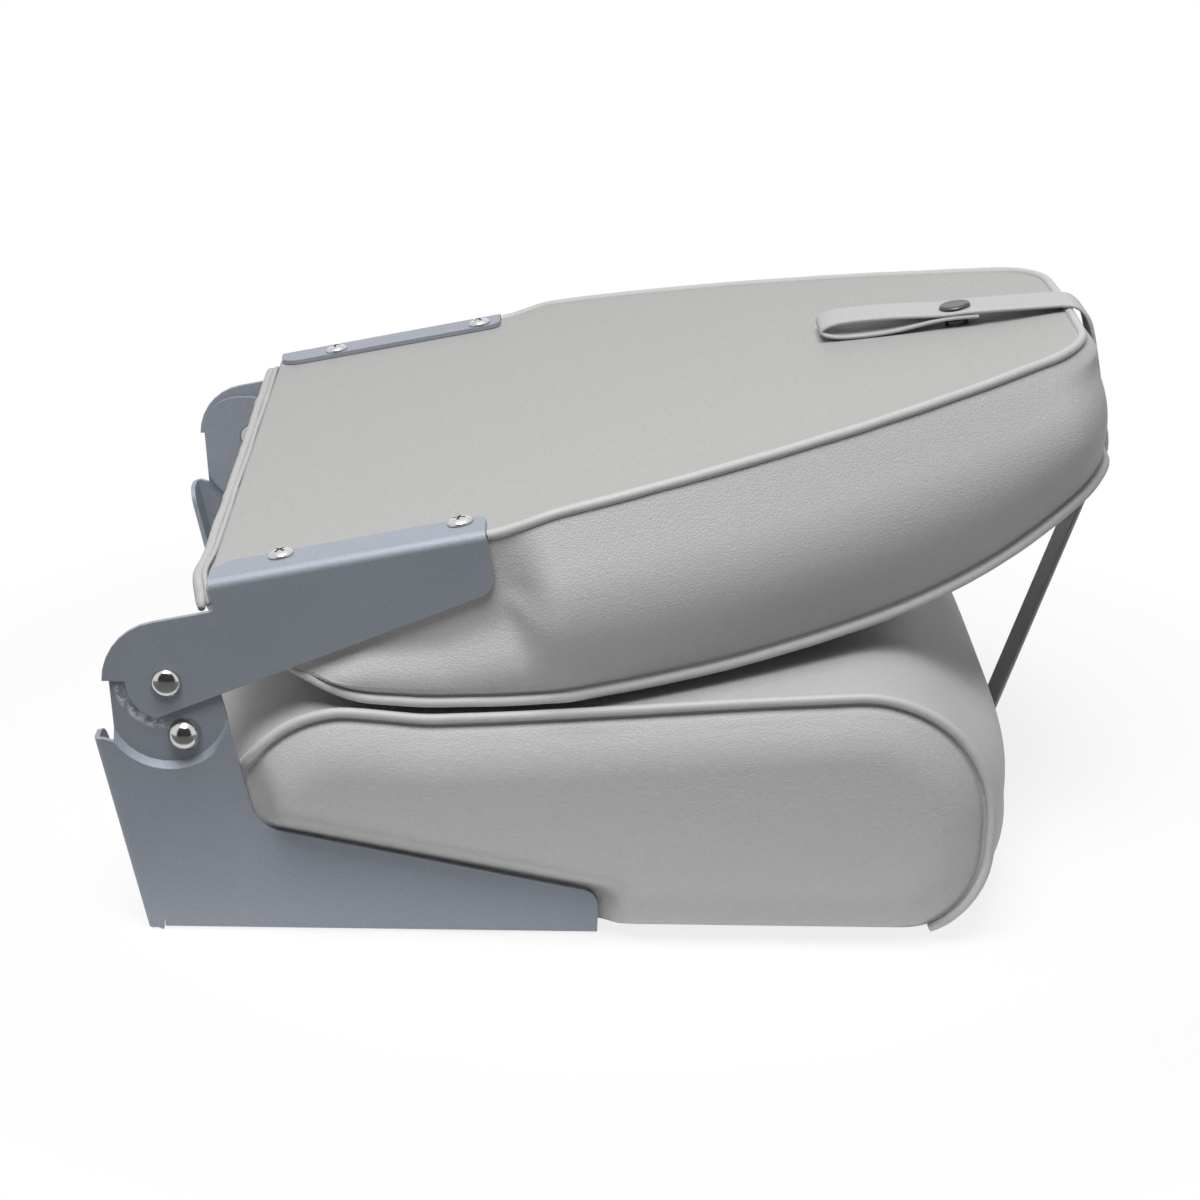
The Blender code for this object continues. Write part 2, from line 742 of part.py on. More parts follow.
def make_hinge_base(side, name, steel):
    """Steel base: upright plate, flange under the board, rear flange and a set-in ear for the arm."""
    lean = math.radians(BASE_REAR_LEAN)
    up = np.array([-math.sin(lean), math.cos(lean)])
    back = np.array([-math.cos(lean), -math.sin(lean)])
    corner = np.array([REAR_X, 0.0])
    centre = np.array([PIVOT_WORLD_X, PIVOT_Z - JOGGLE_DROP])
    joggle_out = JOGGLE_R + JOGGLE_RUN
    ear_rear = PIVOT_WORLD_X - EAR_REAR + JOGGLE_RUN

    def arc(radius):
        """The set-in's arc, from the neck's front edge to the ear's rear edge."""
        angles = np.radians(np.linspace(-180, 0, 721))
        ring = centre + radius * np.stack([np.cos(angles), np.sin(angles)], axis=1)
        inside = [p for p in ring if p[0] > ear_rear and p[0] < neck_x(p[1])]
        picks = np.linspace(0, len(inside) - 1, 13).round().astype(int)
        return [inside[i] for i in picks[::-1]]

    low_arc, high_arc = arc(joggle_out), arc(JOGGLE_R)
    tip = corner + up * TIP_H / math.cos(lean) - back * BEND_R
    fold_rear = corner - back * BEND_R
    plate = Sheet()
    front = REAR_X + BASE_LENGTH
    edge = rounded(
        [
            (front, BEND_R, 0),
            (front, BASE_FRONT_H, BASE_FRONT_R),
            (REAR_X + BASE_NECK_X, BASE_NECK_H, BASE_NECK_R),
            (*low_arc[0], 0),
        ],
        closed=False,
    )
    low_fold = (corner[0] + RELIEF, BEND_R)
    slit_x = low_fold[0] - 2 * GAP
    slit = [(slit_x, 0.0), (slit_x, BEND_R)]
    ids = plate.flat([fold_rear, *slit, low_fold, *edge[:-1], *low_arc, tip], HALF_SPAN)
    plate.faces.append(ids)
    arc_ids = ids[-1 - len(low_arc) : -1]
    high_ids = plate.flat(high_arc, EAR_OUT)
    for i in range(len(low_arc) - 1):
        plate.faces.append([arc_ids[i + 1], arc_ids[i], high_ids[i], high_ids[i + 1]])
    top = PIVOT_Z + EAR_TOP
    ear = rounded(
        [
            (*high_arc[0], 0),
            (neck_x(top), top, EAR_CORNER_R),
            (PIVOT_WORLD_X - EAR_REAR, top, EAR_CORNER_R),
            (*high_arc[-1], 0),
        ],
        closed=False,
    )[1:-1]
    plate.faces.append(high_ids[::-1] + plate.flat(ear, EAR_OUT))
    plate.flange(low_fold, (front, BEND_R), (0, -1), BASE_FLANGE_W, (BEND_R, BEND_R), ids[3:5])
    plate.flange(fold_rear, tip, back, REAR_FLANGE_W, (BEND_R, REAR_FLANGE_R), [ids[0], ids[-1]])
    node = add(name, sheet(plate.outer, plate.inner, plate.faces, side), steel)
    holes = [rivet_hole(side, PIVOT_WORLD_X, PIVOT_Z), rivet_hole(side, *stop_place())]
    for at in BASE_SCREW_AT:
        place = Matrix.Translation((REAR_X + at, side * (HALF_SPAN - BASE_SCREW_IN), 0))
        holes.append(turned(screw_seat(RUNNING_GAP), SMALL_SIDES, place))
    cut(node, joined(holes))


def rivet_hole(side, x, z):
    return cylinder(SHANK_R + RUNNING_GAP, -SHEET_T, 3 * SHEET_T, ROUND_SIDES, side_frame(x, side, EAR_IN, z))


def stop_place():
    angle = math.radians(STOP_ANGLE)
    return PIVOT_WORLD_X + STOP_OUT * math.cos(angle), PIVOT_Z + STOP_OUT * math.sin(angle)


def screw_seat(loose):
    """Countersink of a base screw through the flange, from the floor up."""
    cone = BASE_SCREW_HEAD_R - BASE_SCREW_R
    wide, thin = BASE_SCREW_HEAD_R + loose, BASE_SCREW_R + loose
    return [(0, 2 * SHEET_T), (thin, 2 * SHEET_T), (thin, cone), (wide, 0), (wide, -SHEET_T), (0, -SHEET_T)]


def make_hinge_arm(side, name, steel, parent):
    """Steel arm: a hub round the pivot rivet, a plate along the cushion and a flange over its rear face."""
    fold_v = ARM_TOP - BEND_R
    front = ARM_REAR + ARM_LENGTH
    taper = math.radians(ARM_TAPER)
    foot = taper - math.pi / 2
    meet = foot - math.acos(ARM_LOW / HUB_LOW_R)
    notch = math.radians(NOTCH_ANGLE)

    def hub(radius, start, end, steps):
        turn = np.linspace(start, end, steps + 1)
        return [(radius * math.cos(t), radius * math.sin(t)) for t in turn]

    low_front = -ARM_LOW / math.cos(taper) + front * math.tan(taper)
    step = rounded([(0, HUB_R, 0), (ARM_REAR, HUB_R, SHEET_T), (ARM_REAR, fold_v, 0)], closed=False)
    toe = rounded([(0, -ARM_LOW, 0), (front, low_front, ARM_CORNER_R), (front, fold_v, 0)], closed=False)
    outline = (
        [(ARM_REAR, fold_v)]
        + [tuple(p) for p in step[1:-1]][::-1]
        + hub(HUB_R, math.pi / 2, notch, 7)
        + hub(HUB_LOW_R, notch, meet + 2 * math.pi, 6)
        + [tuple(p) for p in toe[1:-1]]
        + [(front, fold_v)]
    )
    plate = Sheet()
    ids = plate.flat(outline, HALF_SPAN)
    plate.faces.append(ids)
    corners = (FLANGE_REAR_R, FLANGE_FRONT_R)
    plate.flange((ARM_REAR, fold_v), (front, fold_v), (0, 1), ARM_FLANGE_W, corners, [ids[0], ids[-1]])
    node = add(name, sheet(plate.outer, plate.inner, plate.faces, side), steel, parent)
    holes = [rivet_hole(side, 0, 0)]
    for place in arm_screw_places(side):
        holes.append(cylinder(ARM_SCREW_R + RUNNING_GAP, -2 * SHEET_T, SHEET_T, SMALL_SIDES, place))
    cut(node, joined(holes))


def arm_screw_places(side):
    y = side * (HALF_SPAN - ARM_SCREW_IN)
    return [Matrix.Translation((ARM_REAR + at, y, ARM_TOP)) for at in ARM_SCREW_AT]


def make_rivets(side, word, chrome):
    """A domed pivot rivet through arm and ear, and a taller stop rivet in the ear, both clenched behind."""
    foot = SHEET_T + GAP
    pivot_seat = 2 * SHEET_T + 2 * GAP
    for name, place, seat, radius, height in (
        ("pivot_rivet_", (PIVOT_WORLD_X, PIVOT_Z), pivot_seat, PIVOT_HEAD_R, PIVOT_HEAD_H),
        ("stop_rivet_", stop_place(), foot, STOP_HEAD_R, STOP_HEAD_H),
    ):
        wall = height - radius * 0.55
        crown = [(0, seat + height), (radius * 0.45, seat + height * 0.94)]
        dome = crown + [(radius * 0.8, seat + height * 0.72)]
        skirt = [(radius, seat + max(wall, height * 0.3)), (radius, seat)]
        shank = [(SHANK_R, seat), (SHANK_R, -GAP), (CLENCH_R, -GAP), (CLENCH_R * 0.85, -GAP - CLENCH_H)]
        tail = [(0, -GAP - CLENCH_H)]
        frame = side_frame(place[0], side, EAR_IN, place[1])
        add(name + word, turned(dome + skirt + shank + tail, ROUND_SIDES, frame), chrome)


def make_seat(vinyl, piping, foam_look, wood, zinc):
    """Plywood base board with tee nuts, foam, a vinyl cover turned in under the board, and two welts."""
    cover = add("seat_cover", seat_form(0.0, SEAT_BOTTOM), vinyl)
    cut(cover, seat_form(COVER_T, SEAT_BOTTOM + COVER_T))
    board_half = SEAT_HALF - COVER_T - 0.7 * SEAT_SIDE_LOW_R
    board_rear = SEAT_REAR_X + SEAT_REAR_LOW_R
    board_front = SEAT_FRONT_X - SEAT_FRONT_LOW_R
    open_half = board_half - RETURN_W / 3
    low = (board_rear + RETURN_W, -open_half, -SEAT_BOTTOM)
    high = (board_front - RETURN_W, open_half, SEAT_BOARD_Z)
    cut(cover, box(low, high))
    add("seat_foam", seat_form(COVER_T + FOAM_GAP, SEAT_BOARD_TOP + GAP), foam_look)
    board = add(
        "seat_base_board",
        box((board_rear, -board_half, SEAT_BOARD_Z), (board_front, board_half, SEAT_BOARD_TOP)),
        wood,
    )
    holes = []
    seat_top_z = SEAT_BOARD_TOP - NUT_FLANGE_T - GAP
    for number, (ex, ey) in enumerate(((-1, -1), (1, -1), (1, 1), (-1, 1)), 1):
        x, y = NUT_X + ex * NUT_PATTERN / 2, ey * NUT_PATTERN / 2
        place = Matrix.Translation((x, y, 0))
        barrel = NUT_BARREL_R + RUNNING_GAP
        flange = NUT_FLANGE_R + RUNNING_GAP
        holes.append(
            turned(
                [
                    (0, SEAT_BOARD_TOP + SEAT_BOARD_T),
                    (flange, SEAT_BOARD_TOP + SEAT_BOARD_T),
                    (flange, seat_top_z),
                    (barrel, seat_top_z),
                    (barrel, SEAT_BOARD_Z - SEAT_BOARD_T),
                    (0, SEAT_BOARD_Z - SEAT_BOARD_T),
                ],
                SMALL_SIDES,
                place,
            )
        )
        nut_top, nut_end = SEAT_BOARD_TOP, SEAT_BOARD_Z + NUT_FLANGE_T
        nut_seat = nut_top - NUT_FLANGE_T
        ring = [
            (NUT_BORE_R, nut_end),
            (NUT_BORE_R, nut_top),
            (NUT_FLANGE_R, nut_top),
            (NUT_FLANGE_R, nut_seat),
            (NUT_BARREL_R, nut_seat),
            (NUT_BARREL_R, nut_end),
            (NUT_BORE_R, nut_end),
        ]
        add(f"tee_nut_{number}", turned(ring, SMALL_SIDES, place), zinc)
    for side in (-1, 1):
        for at in BASE_SCREW_AT:
            place = Matrix.Translation((REAR_X + at, side * (HALF_SPAN - BASE_SCREW_IN), 0))
            holes.append(cylinder(BASE_SCREW_R + RUNNING_GAP, 0, BASE_SCREW_L + GAP, SMALL_SIDES, place))
    anchor = Matrix.Translation(anchor_place())
    holes.append(cylinder(BASE_SCREW_R + RUNNING_GAP, -STRAP_T, PIN_L + GAP, SMALL_SIDES, anchor))
    cut(board, joined(holes))
    make_seat_welts(piping)


def make_seat_welts(piping):
    """A bead along each side seam, from behind the hinge base over the top and down the front."""
    profile, normals = seat_profile(0.0)
    for side, word in ((-1, "right"), (1, "left")):
        route = []
        for p, n in zip(profile, normals):
            x, z = p + n * WELT_OFF
            if z > SEAT_BOTTOM + SEAT_SIDE_LOW_R and x - neck_x(z) > WELT_R + 2 * GAP:
                route.append((x, side * (seat_side(p[0], p[1], 0) + WELT_OFF), z))
        welt(f"seat_welt_{word}", route, piping)


def anchor_place():
    return (REAR_X + STRAP_END_X + STRAP_W / 2, STRAP_Y, SEAT_BOARD_Z - GAP - STRAP_T)


def make_back(vinyl, panel_look, piping, foam_look, wood, parent):
    """Plywood board, foam, a vinyl cover turned in over the board, a rear panel, two welts and a hem."""
    cover = add("back_cover", back_form(0.0), vinyl, parent)
    cut(cover, back_form(COVER_T))
    cut(cover, back_flat(RETURN_W + COVER_T, -COVER_T, BACK_BOARD_D))
    foam = add("back_foam", back_form(COVER_T + FOAM_GAP), foam_look, parent)
    low = (-BACK_HALF, -2 * BACK_HALF, PANEL_V - BACK_BOARD_END - GAP)
    cut(foam, box(low, (2 * BACK_LENGTH, 2 * BACK_HALF, PANEL_V + BACK_HALF)))
    board = add("back_board", back_flat(2 * COVER_T + 2 * GAP, BACK_BOARD_D, BACK_BOARD_END), wood, parent)
    panel = add("back_rear_panel", back_flat(GAP, 0.0, PANEL_T), panel_look, parent)
    holes = []
    for side in (-1, 1):
        for place in arm_screw_places(side):
            holes.append(cylinder(ARM_SCREW_R + RUNNING_GAP, -ARM_SCREW_L - GAP, GAP, SMALL_SIDES, place))
    s, y = snap_place()
    pin = Matrix.Translation((ARM_REAR + s, y, PANEL_V))
    holes.append(cylinder(PIN_R + RUNNING_GAP, -PIN_L - GAP, PANEL_T, SMALL_SIDES, pin))
    for node in (board, panel):
        cut(node, joined([part.copy() for part in holes]))
    for part in holes:
        part.free()
    make_back_welts(piping, parent)
    hem_half = SEAT_HALF - COVER_T - HEM_R
    lie = Matrix.Translation((ARM_REAR - BACK_HEM - GAP - HEM_R, 0, PANEL_V - HEM_R))
    lie = lie @ Matrix.Rotation(math.pi / 2, 4, "X")
    add("back_hem", cylinder(HEM_R, -hem_half, hem_half, SMALL_SIDES, lie), vinyl, parent)


def make_back_welts(piping, parent):
    """A bead round each face of the back, open at the hinge end."""
    for name, front in (("back_welt_rear", False), ("back_welt_front", True)):
        loop, normals = back_loop(front)
        route = []
        for (s, y), normal in zip(loop, normals):
            if front:
                out, v = WELT_OFF, PANEL_V - edge_depth(s) - WELT_OFF
                if s <= FRONT_START + GAP and abs(y) < FRONT_START_HALF - GAP:
                    continue
            else:
                out, v = WELT_R, PANEL_V + GAP
                if s < ARM_LENGTH + WELT_R:
                    continue
            p = np.array([s, y]) + normal * out
            route.append((ARM_REAR + p[0], p[1], v))
        welt(name, route, piping, parent)


def snap_place():
    """Place of the snap on the back's rear face, under the skewed strap."""
    return BACK_LENGTH - SNAP_BACK, STRAP_Y + SNAP_BACK * math.tan(math.radians(STRAP_SKEW))


def strap_heights():
    """Middles of the strap's two layers over the rear face at the snap."""
    low = GAP + STUD_T + GAP + SOCKET_H + GAP + STRAP_T / 2
    return low, low + STRAP_T + GAP


def strap_routes():
    """World (x, z) routes of the strap's four stretches, from under the seat to the pull loop."""
    low, high = strap_heights()
    z_end = SEAT_BOARD_Z - GAP - STRAP_T / 2
    z_low = SEAT_BOTTOM - GAP - STRAP_T / 2
    x_end = REAR_X + STRAP_END_X
    x_drop = SEAT_FRONT_X - SEAT_FRONT_LOW_R - RETURN_W
    centre = np.array([REAR_X + STRAP_BEND_X, z_low + STRAP_BEND_R])
    anchor = [(x_end, z_end), (x_drop - 3 * STRAP_T, z_end), (x_drop - STRAP_T, z_low), (centre[0], z_low)]
    clear = WELT_OFF + WELT_R + STRAP_T / 2 + 2 * GAP
    out = BACK_LENGTH + clear
    knee = back_point(out + FRONT_BOW, -EDGE_TOP - clear)
    reach = knee - centre
    distance = np.linalg.norm(reach)
    angle = math.atan2(reach[1], reach[0]) - math.acos(STRAP_BEND_R / distance)
    turn = np.linspace(-math.pi / 2, angle, 7)
    bend = [centre + STRAP_BEND_R * np.array([math.cos(t), math.sin(t)]) for t in turn]
    stretch = [bend[-1] + (knee - bend[-1]) * f for f in np.linspace(0, 1, 5)]
    wrap = [back_point(out + FRONT_BOW * d, -h) for d, h in (
        (1.0, EDGE_TOP + clear),
        (0.95, EDGE_TOP * 0.75),
        (0.8, EDGE_TOP * 0.45),
        (0.5, EDGE_TOP * 0.18),
        (0.0, -clear / 4),
    )]
    loop_top, loop_low = LOOP_H, STRAP_T / 2 + 3 * GAP
    tab = [back_point(BACK_LENGTH - back, h) for back, h in (
        (-clear, clear / 4),
        (-clear / 2, clear * 0.85),
        (clear, clear * 1.1),
        (SNAP_BACK - CAP_R, high),
        (SNAP_BACK + CAP_R, high),
        ((SNAP_BACK + LOOP_BACK) / 2, loop_top),
        (LOOP_BACK - LOOP_H, loop_top),
        (LOOP_BACK, (loop_top + loop_low) / 2),
        (LOOP_BACK - LOOP_H, loop_low),
        ((SNAP_BACK + LOOP_BACK) / 2, loop_low),
        (SNAP_BACK + CAP_R, low),
        (SNAP_BACK - TAIL, low),
    )]
    return anchor, bend + stretch[1:], wrap, tab


def strap_joints(routes):
    """World (x, z) of the three places where the strap bends when it is thrown forward."""
    anchor, stretch, wrap, tab = routes
    return stretch[3], wrap[0], tab[0]


def shortened(route):
    """The route with its first end drawn back by the gap between two stretches."""
    first = np.array(route[0])
    toward = np.array(route[1]) - first
    return [first + toward / np.linalg.norm(toward) * 2 * GAP, *route[1:]]


def make_strap(vinyl, dark, zinc):
    """Hold-down strap: screwed under the seat, up to the back's top end and over it to a snap and loop."""
    routes = strap_routes()
    anchor, stretch, wrap, tab = routes
    parents = [None]
    for name, (x, z) in zip(("strap_lift_axis", "strap_wrap_axis", "strap_tab_axis"), strap_joints(routes)):
        parents.append(axis_empty(name, (x, 0.0, z)))
    skew = math.tan(math.radians(STRAP_SKEW))
    end_x = tab[0][0]
    tab_route = smooth_route(shortened(tab), 4)
    pieces = (
        ("strap_anchor", anchor, lambda i: STRAP_Y),
        ("strap_stretch", shortened(stretch), lambda i: STRAP_Y),
        ("strap_wrap", smooth_route(shortened(wrap), 3), lambda i: STRAP_Y),
        ("strap_tab", tab_route, lambda i: STRAP_Y + (end_x - tab_route[i][0]) * skew / math.cos(SLOPE)),
    )
    nodes = {}
    for (name, route, sideways), parent in zip(pieces, parents):
        bm = ribbon(route, sideways)
        if parent:
            bm.transform(Matrix.Translation(-parent.location))
        nodes[name] = add(name, bm, vinyl, parent)
    place = anchor_place()
    frame = Matrix.Translation(place)
    head = [(0, PIN_L), (BASE_SCREW_R, PIN_L), (BASE_SCREW_R, -GAP), (ANCHOR_HEAD_R, -GAP)]
    foot = [(ANCHOR_HEAD_R * 0.8, -GAP - ANCHOR_HEAD_H), (0, -GAP - ANCHOR_HEAD_H)]
    add("strap_anchor_screw", turned(head + foot, SMALL_SIDES, frame), zinc)
    hole = cylinder(BASE_SCREW_R + RUNNING_GAP, -STRAP_T, 3 * STRAP_T, SMALL_SIDES, frame)
    cut(nodes["strap_anchor"], hole)
    make_snap(nodes["strap_tab"], parents[3], dark, zinc)


def make_snap(tab, parent, dark, zinc):
    """Snap fastener: a stud riveted to the back's panel, and a socket and cap clamped on the strap."""
    s, y = snap_place()
    x, z = back_point(s, 0.0)
    face = Matrix.Translation((x, y, z)) @ Matrix.Rotation(-SLOPE, 4, "Y")
    low, high = strap_heights()
    stud_top = GAP + STUD_T
    stud = [
        (0, stud_top + STUD_POST_H),
        (STUD_POST_R, stud_top + STUD_POST_H),
        (STUD_POST_R, stud_top),
        (STUD_R, stud_top),
        (STUD_R, GAP),
        (PIN_R, GAP),
        (PIN_R, -PIN_L),
        (0, -PIN_L),
    ]
    add("snap_stud", turned(stud, SMALL_SIDES, face), zinc)
    base = stud_top + GAP
    roof = base + SOCKET_H
    inside = STUD_POST_R + GAP
    socket = [
        (0, roof),
        (SOCKET_R * 0.8, roof),
        (SOCKET_R, base + SOCKET_H / 2),
        (SOCKET_R, base),
        (inside, base),
        (inside, stud_top + STUD_POST_H + GAP),
        (0, stud_top + STUD_POST_H + GAP),
    ]
    seat = high + STRAP_T / 2 + GAP
    cap = [
        (0, seat + CAP_H),
        (CAP_R * 0.7, seat + CAP_H * 0.85),
        (CAP_R * 0.95, seat + CAP_H * 0.45),
        (CAP_R, seat),
        (CAP_POST_R, seat),
        (CAP_POST_R, roof + GAP),
        (0, roof + GAP),
    ]
    local = Matrix.Translation(-parent.location) @ face
    add("snap_socket", turned(socket, SMALL_SIDES, local), zinc, parent)
    add("snap_cap", turned(cap, ROUND_SIDES, local), dark, parent)
    cut(tab, cylinder(CAP_POST_R + RUNNING_GAP, roof - STRAP_T, seat + STRAP_T, SMALL_SIDES, local))


def make_screws(zinc, parent):
    """Cross-recess screws in the arms' flanges, and countersunk ones under the base flanges."""
    for side, word in ((-1, "right"), (1, "left")):
        for number, place in enumerate(arm_screw_places(side), 1):
            h, r = ARM_SCREW_HEAD_H, ARM_SCREW_HEAD_R
            head = [(0, h), (r * 0.5, h * 0.93), (r * 0.85, h * 0.6), (r, h * 0.2), (r, GAP)]
            shank = [(ARM_SCREW_R, GAP), (ARM_SCREW_R, -ARM_SCREW_L), (0, -ARM_SCREW_L)]
            node = add(f"arm_screw_{word}_{number}", turned(head + shank, SMALL_SIDES, place), zinc, parent)
            arms = []
            for half_x, half_y in ((CROSS_L / 2, CROSS_W / 2), (CROSS_W / 2, CROSS_L / 2)):
                arms.append(box((-half_x, -half_y, h - CROSS_H), (half_x, half_y, 2 * h)))
            for arm in arms:
                arm.transform(place @ Matrix.Rotation(math.radians(30), 4, "Z"))
                cut(node, arm)
        for number, at in enumerate(BASE_SCREW_AT, 1):
            place = Matrix.Translation((REAR_X + at, side * (HALF_SPAN - BASE_SCREW_IN), 0))
            cone = BASE_SCREW_HEAD_R - BASE_SCREW_R
            profile = [
                (0, BASE_SCREW_L),
                (BASE_SCREW_R, BASE_SCREW_L),
                (BASE_SCREW_R, cone),
                (BASE_SCREW_HEAD_R - GAP, GAP),
                (0, GAP),
            ]
            add(f"base_screw_{word}_{number}", turned(profile, SMALL_SIDES, place), zinc)


for old in list(bpy.data.objects):
    bpy.data.objects.remove(old)

STEEL = material("blue_grey_powder_coat", (0.19, 0.21, 0.24), 0.45)
CHROME = material("polished_rivet", (0.60, 0.60, 0.60), 0.12, 1.0)
ZINC = material("zinc_plate", (0.55, 0.56, 0.57), 0.30, 1.0)
GUNMETAL = material("gunmetal_cap", (0.09, 0.09, 0.09), 0.35, 0.8)
VINYL = material("light_grey_vinyl", (0.46, 0.46, 0.46), 0.50)
PANEL = material("rear_panel_vinyl", (0.42, 0.42, 0.42), 0.55)
PIPING = material("vinyl_piping", (0.48, 0.48, 0.48), 0.45)
FOAM = material("cushion_foam", (0.80, 0.76, 0.62), 0.90)
WOOD = material("plywood", (0.48, 0.34, 0.20), 0.70)

back_axis = axis_empty("back_fold_axis", (PIVOT_WORLD_X, 0.0, PIVOT_Z), -SLOPE)
make_seat(VINYL, PIPING, FOAM, WOOD, ZINC)
make_back(VINYL, PANEL, PIPING, FOAM, WOOD, back_axis)
for hinge_side, hinge_word in ((-1, "right"), (1, "left")):
    make_hinge_base(hinge_side, f"hinge_base_{hinge_word}", STEEL)
    make_hinge_arm(hinge_side, f"hinge_arm_{hinge_word}", STEEL, back_axis)
    make_rivets(hinge_side, hinge_word, CHROME)
make_screws(ZINC, back_axis)
make_strap(VINYL, GUNMETAL, ZINC)
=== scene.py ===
import json
import math

import bmesh
import bpy
import numpy as np
from mathutils import Matrix, Vector, noise


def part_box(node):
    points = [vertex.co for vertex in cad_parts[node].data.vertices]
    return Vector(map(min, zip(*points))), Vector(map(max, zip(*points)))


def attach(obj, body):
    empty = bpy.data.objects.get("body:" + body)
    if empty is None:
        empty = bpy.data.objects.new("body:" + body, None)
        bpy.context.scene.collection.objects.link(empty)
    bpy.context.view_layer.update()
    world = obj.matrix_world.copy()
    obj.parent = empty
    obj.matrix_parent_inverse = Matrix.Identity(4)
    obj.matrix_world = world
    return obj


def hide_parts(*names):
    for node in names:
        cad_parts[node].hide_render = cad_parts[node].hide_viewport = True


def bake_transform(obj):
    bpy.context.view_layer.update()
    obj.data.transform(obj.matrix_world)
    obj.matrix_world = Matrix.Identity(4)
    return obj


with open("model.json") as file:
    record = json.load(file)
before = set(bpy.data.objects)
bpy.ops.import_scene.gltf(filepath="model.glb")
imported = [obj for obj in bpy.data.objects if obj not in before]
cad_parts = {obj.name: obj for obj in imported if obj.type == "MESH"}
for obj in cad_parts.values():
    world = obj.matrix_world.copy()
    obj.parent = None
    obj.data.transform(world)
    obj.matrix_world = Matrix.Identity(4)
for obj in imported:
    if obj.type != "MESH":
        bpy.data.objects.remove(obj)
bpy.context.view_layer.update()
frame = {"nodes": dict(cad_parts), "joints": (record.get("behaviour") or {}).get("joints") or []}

# The studio: the folded seat stands on a plain white floor under a softbox hung high on the camera's
# side, with a weak one overhead and a strip behind. Dark cards in front show only in the metal.
camera_turn, camera_down, camera_roll = (math.radians(angle) for angle in (1.392, 21.0, 1.4234))
camera_place = (-0.04397, -1.31190, 0.59900)
camera_lens = 82.275
ambient_level = 0.13
key = ((-0.2, -0.85, 2.05), (0, 0, 0.1), 1.2, 1.2, 48.0)
overhead = ((-0.1, 0.25, 1.9), (0, 0, 0.1), 2.0, 2.0, 4.0)
strip = ((0.0, 2.0, 0.95), (0, 0, 0.2), 2.4, 0.9, 2.0)


def linear(colour):
    """Linear RGBA of an sRGB hex colour."""
    parts = [int(colour[i : i + 2], 16) / 255 for i in (1, 3, 5)]
    return (*[c / 12.92 if c <= 0.04045 else ((c + 0.055) / 1.055) ** 2.4 for c in parts], 1.0)


def add_node(tree, kind, inputs=None, **settings):
    """Adds a shader node with its settings, and its inputs as values or as links."""
    made = tree.nodes.new("ShaderNode" + kind)
    for name, value in settings.items():
        setattr(made, name, value)
    for name, value in (inputs or {}).items():
        if isinstance(value, bpy.types.NodeSocket):
            tree.links.new(value, made.inputs[name])
        else:
            made.inputs[name].default_value = value
    return made


def add_piece(name, mesh, look):
    """An object for a mesh or curve, at the origin of the part's frame."""
    piece = bpy.data.objects.new(name, mesh)
    bpy.context.scene.collection.objects.link(piece)
    if look:
        piece.data.materials.append(look)
    return piece


scene = bpy.context.scene
scene.view_settings.view_transform = "Standard"
camera = bpy.data.objects.new("camera", bpy.data.cameras.new("camera"))
scene.collection.objects.link(camera)
camera.data.lens = camera_lens
camera.data.sensor_width = 36.0
level = math.cos(camera_down)
forward = Vector((math.sin(camera_turn) * level, math.cos(camera_turn) * level, -math.sin(camera_down)))
flat_right = Vector((math.cos(camera_turn), -math.sin(camera_turn), 0.0))
flat_up = flat_right.cross(forward)
right = flat_right * math.cos(camera_roll) + flat_up * math.sin(camera_roll)
upward = flat_up * math.cos(camera_roll) - flat_right * math.sin(camera_roll)
turn = Matrix((right, upward, -forward)).transposed().to_4x4()
camera.matrix_world = Matrix.Translation(camera_place) @ turn
scene.camera = camera

for lamp_name, (place, target, width, height, watts) in (
    ("key_softbox", key),
    ("overhead_softbox", overhead),
    ("rear_strip", strip),
):
    lamp = bpy.data.objects.new(lamp_name, bpy.data.lights.new(lamp_name, "AREA"))
    scene.collection.objects.link(lamp)
    lamp.data.shape = "RECTANGLE"
    lamp.data.size, lamp.data.size_y = width, height
    lamp.data.energy = watts
    lamp.location = place
    lamp.rotation_euler = (Vector(target) - Vector(place)).to_track_quat("-Z", "Y").to_euler()
    lamp.visible_camera = False

world = bpy.data.worlds.new("white_sweep")
scene.world = world
world.use_nodes = True
tree = world.node_tree
rays = add_node(tree, "LightPath").outputs
seen = add_node(tree, "Math", {0: rays["Is Camera Ray"], 1: rays["Is Glossy Ray"]}, operation="MAXIMUM")
seen = add_node(tree, "Math", {0: seen.outputs[0], 1: rays["Is Transmission Ray"]}, operation="MAXIMUM")
sky = add_node(tree, "MapRange", {"Value": seen.outputs[0], "To Min": ambient_level, "To Max": 1.0})
tree.links.new(sky.outputs[0], tree.nodes["Background"].inputs["Strength"])
tree.nodes["Background"].inputs["Color"].default_value = (1, 1, 1, 1)

# Floor: a white sheet under the seat on a greyer sweep, matt; camera and metal see both nearly white,
# and the sheet still takes the shadow.
floor_reach, floor_z, floor_sides = 9.0, -0.0004, 48
sheet_fade = {"From Min": 0.29, "From Max": 0.48, "To Min": 0.9, "To Max": 0.25}
shadow_fade = {"From Min": 0.2, "From Max": 0.45, "To Min": 0.82}

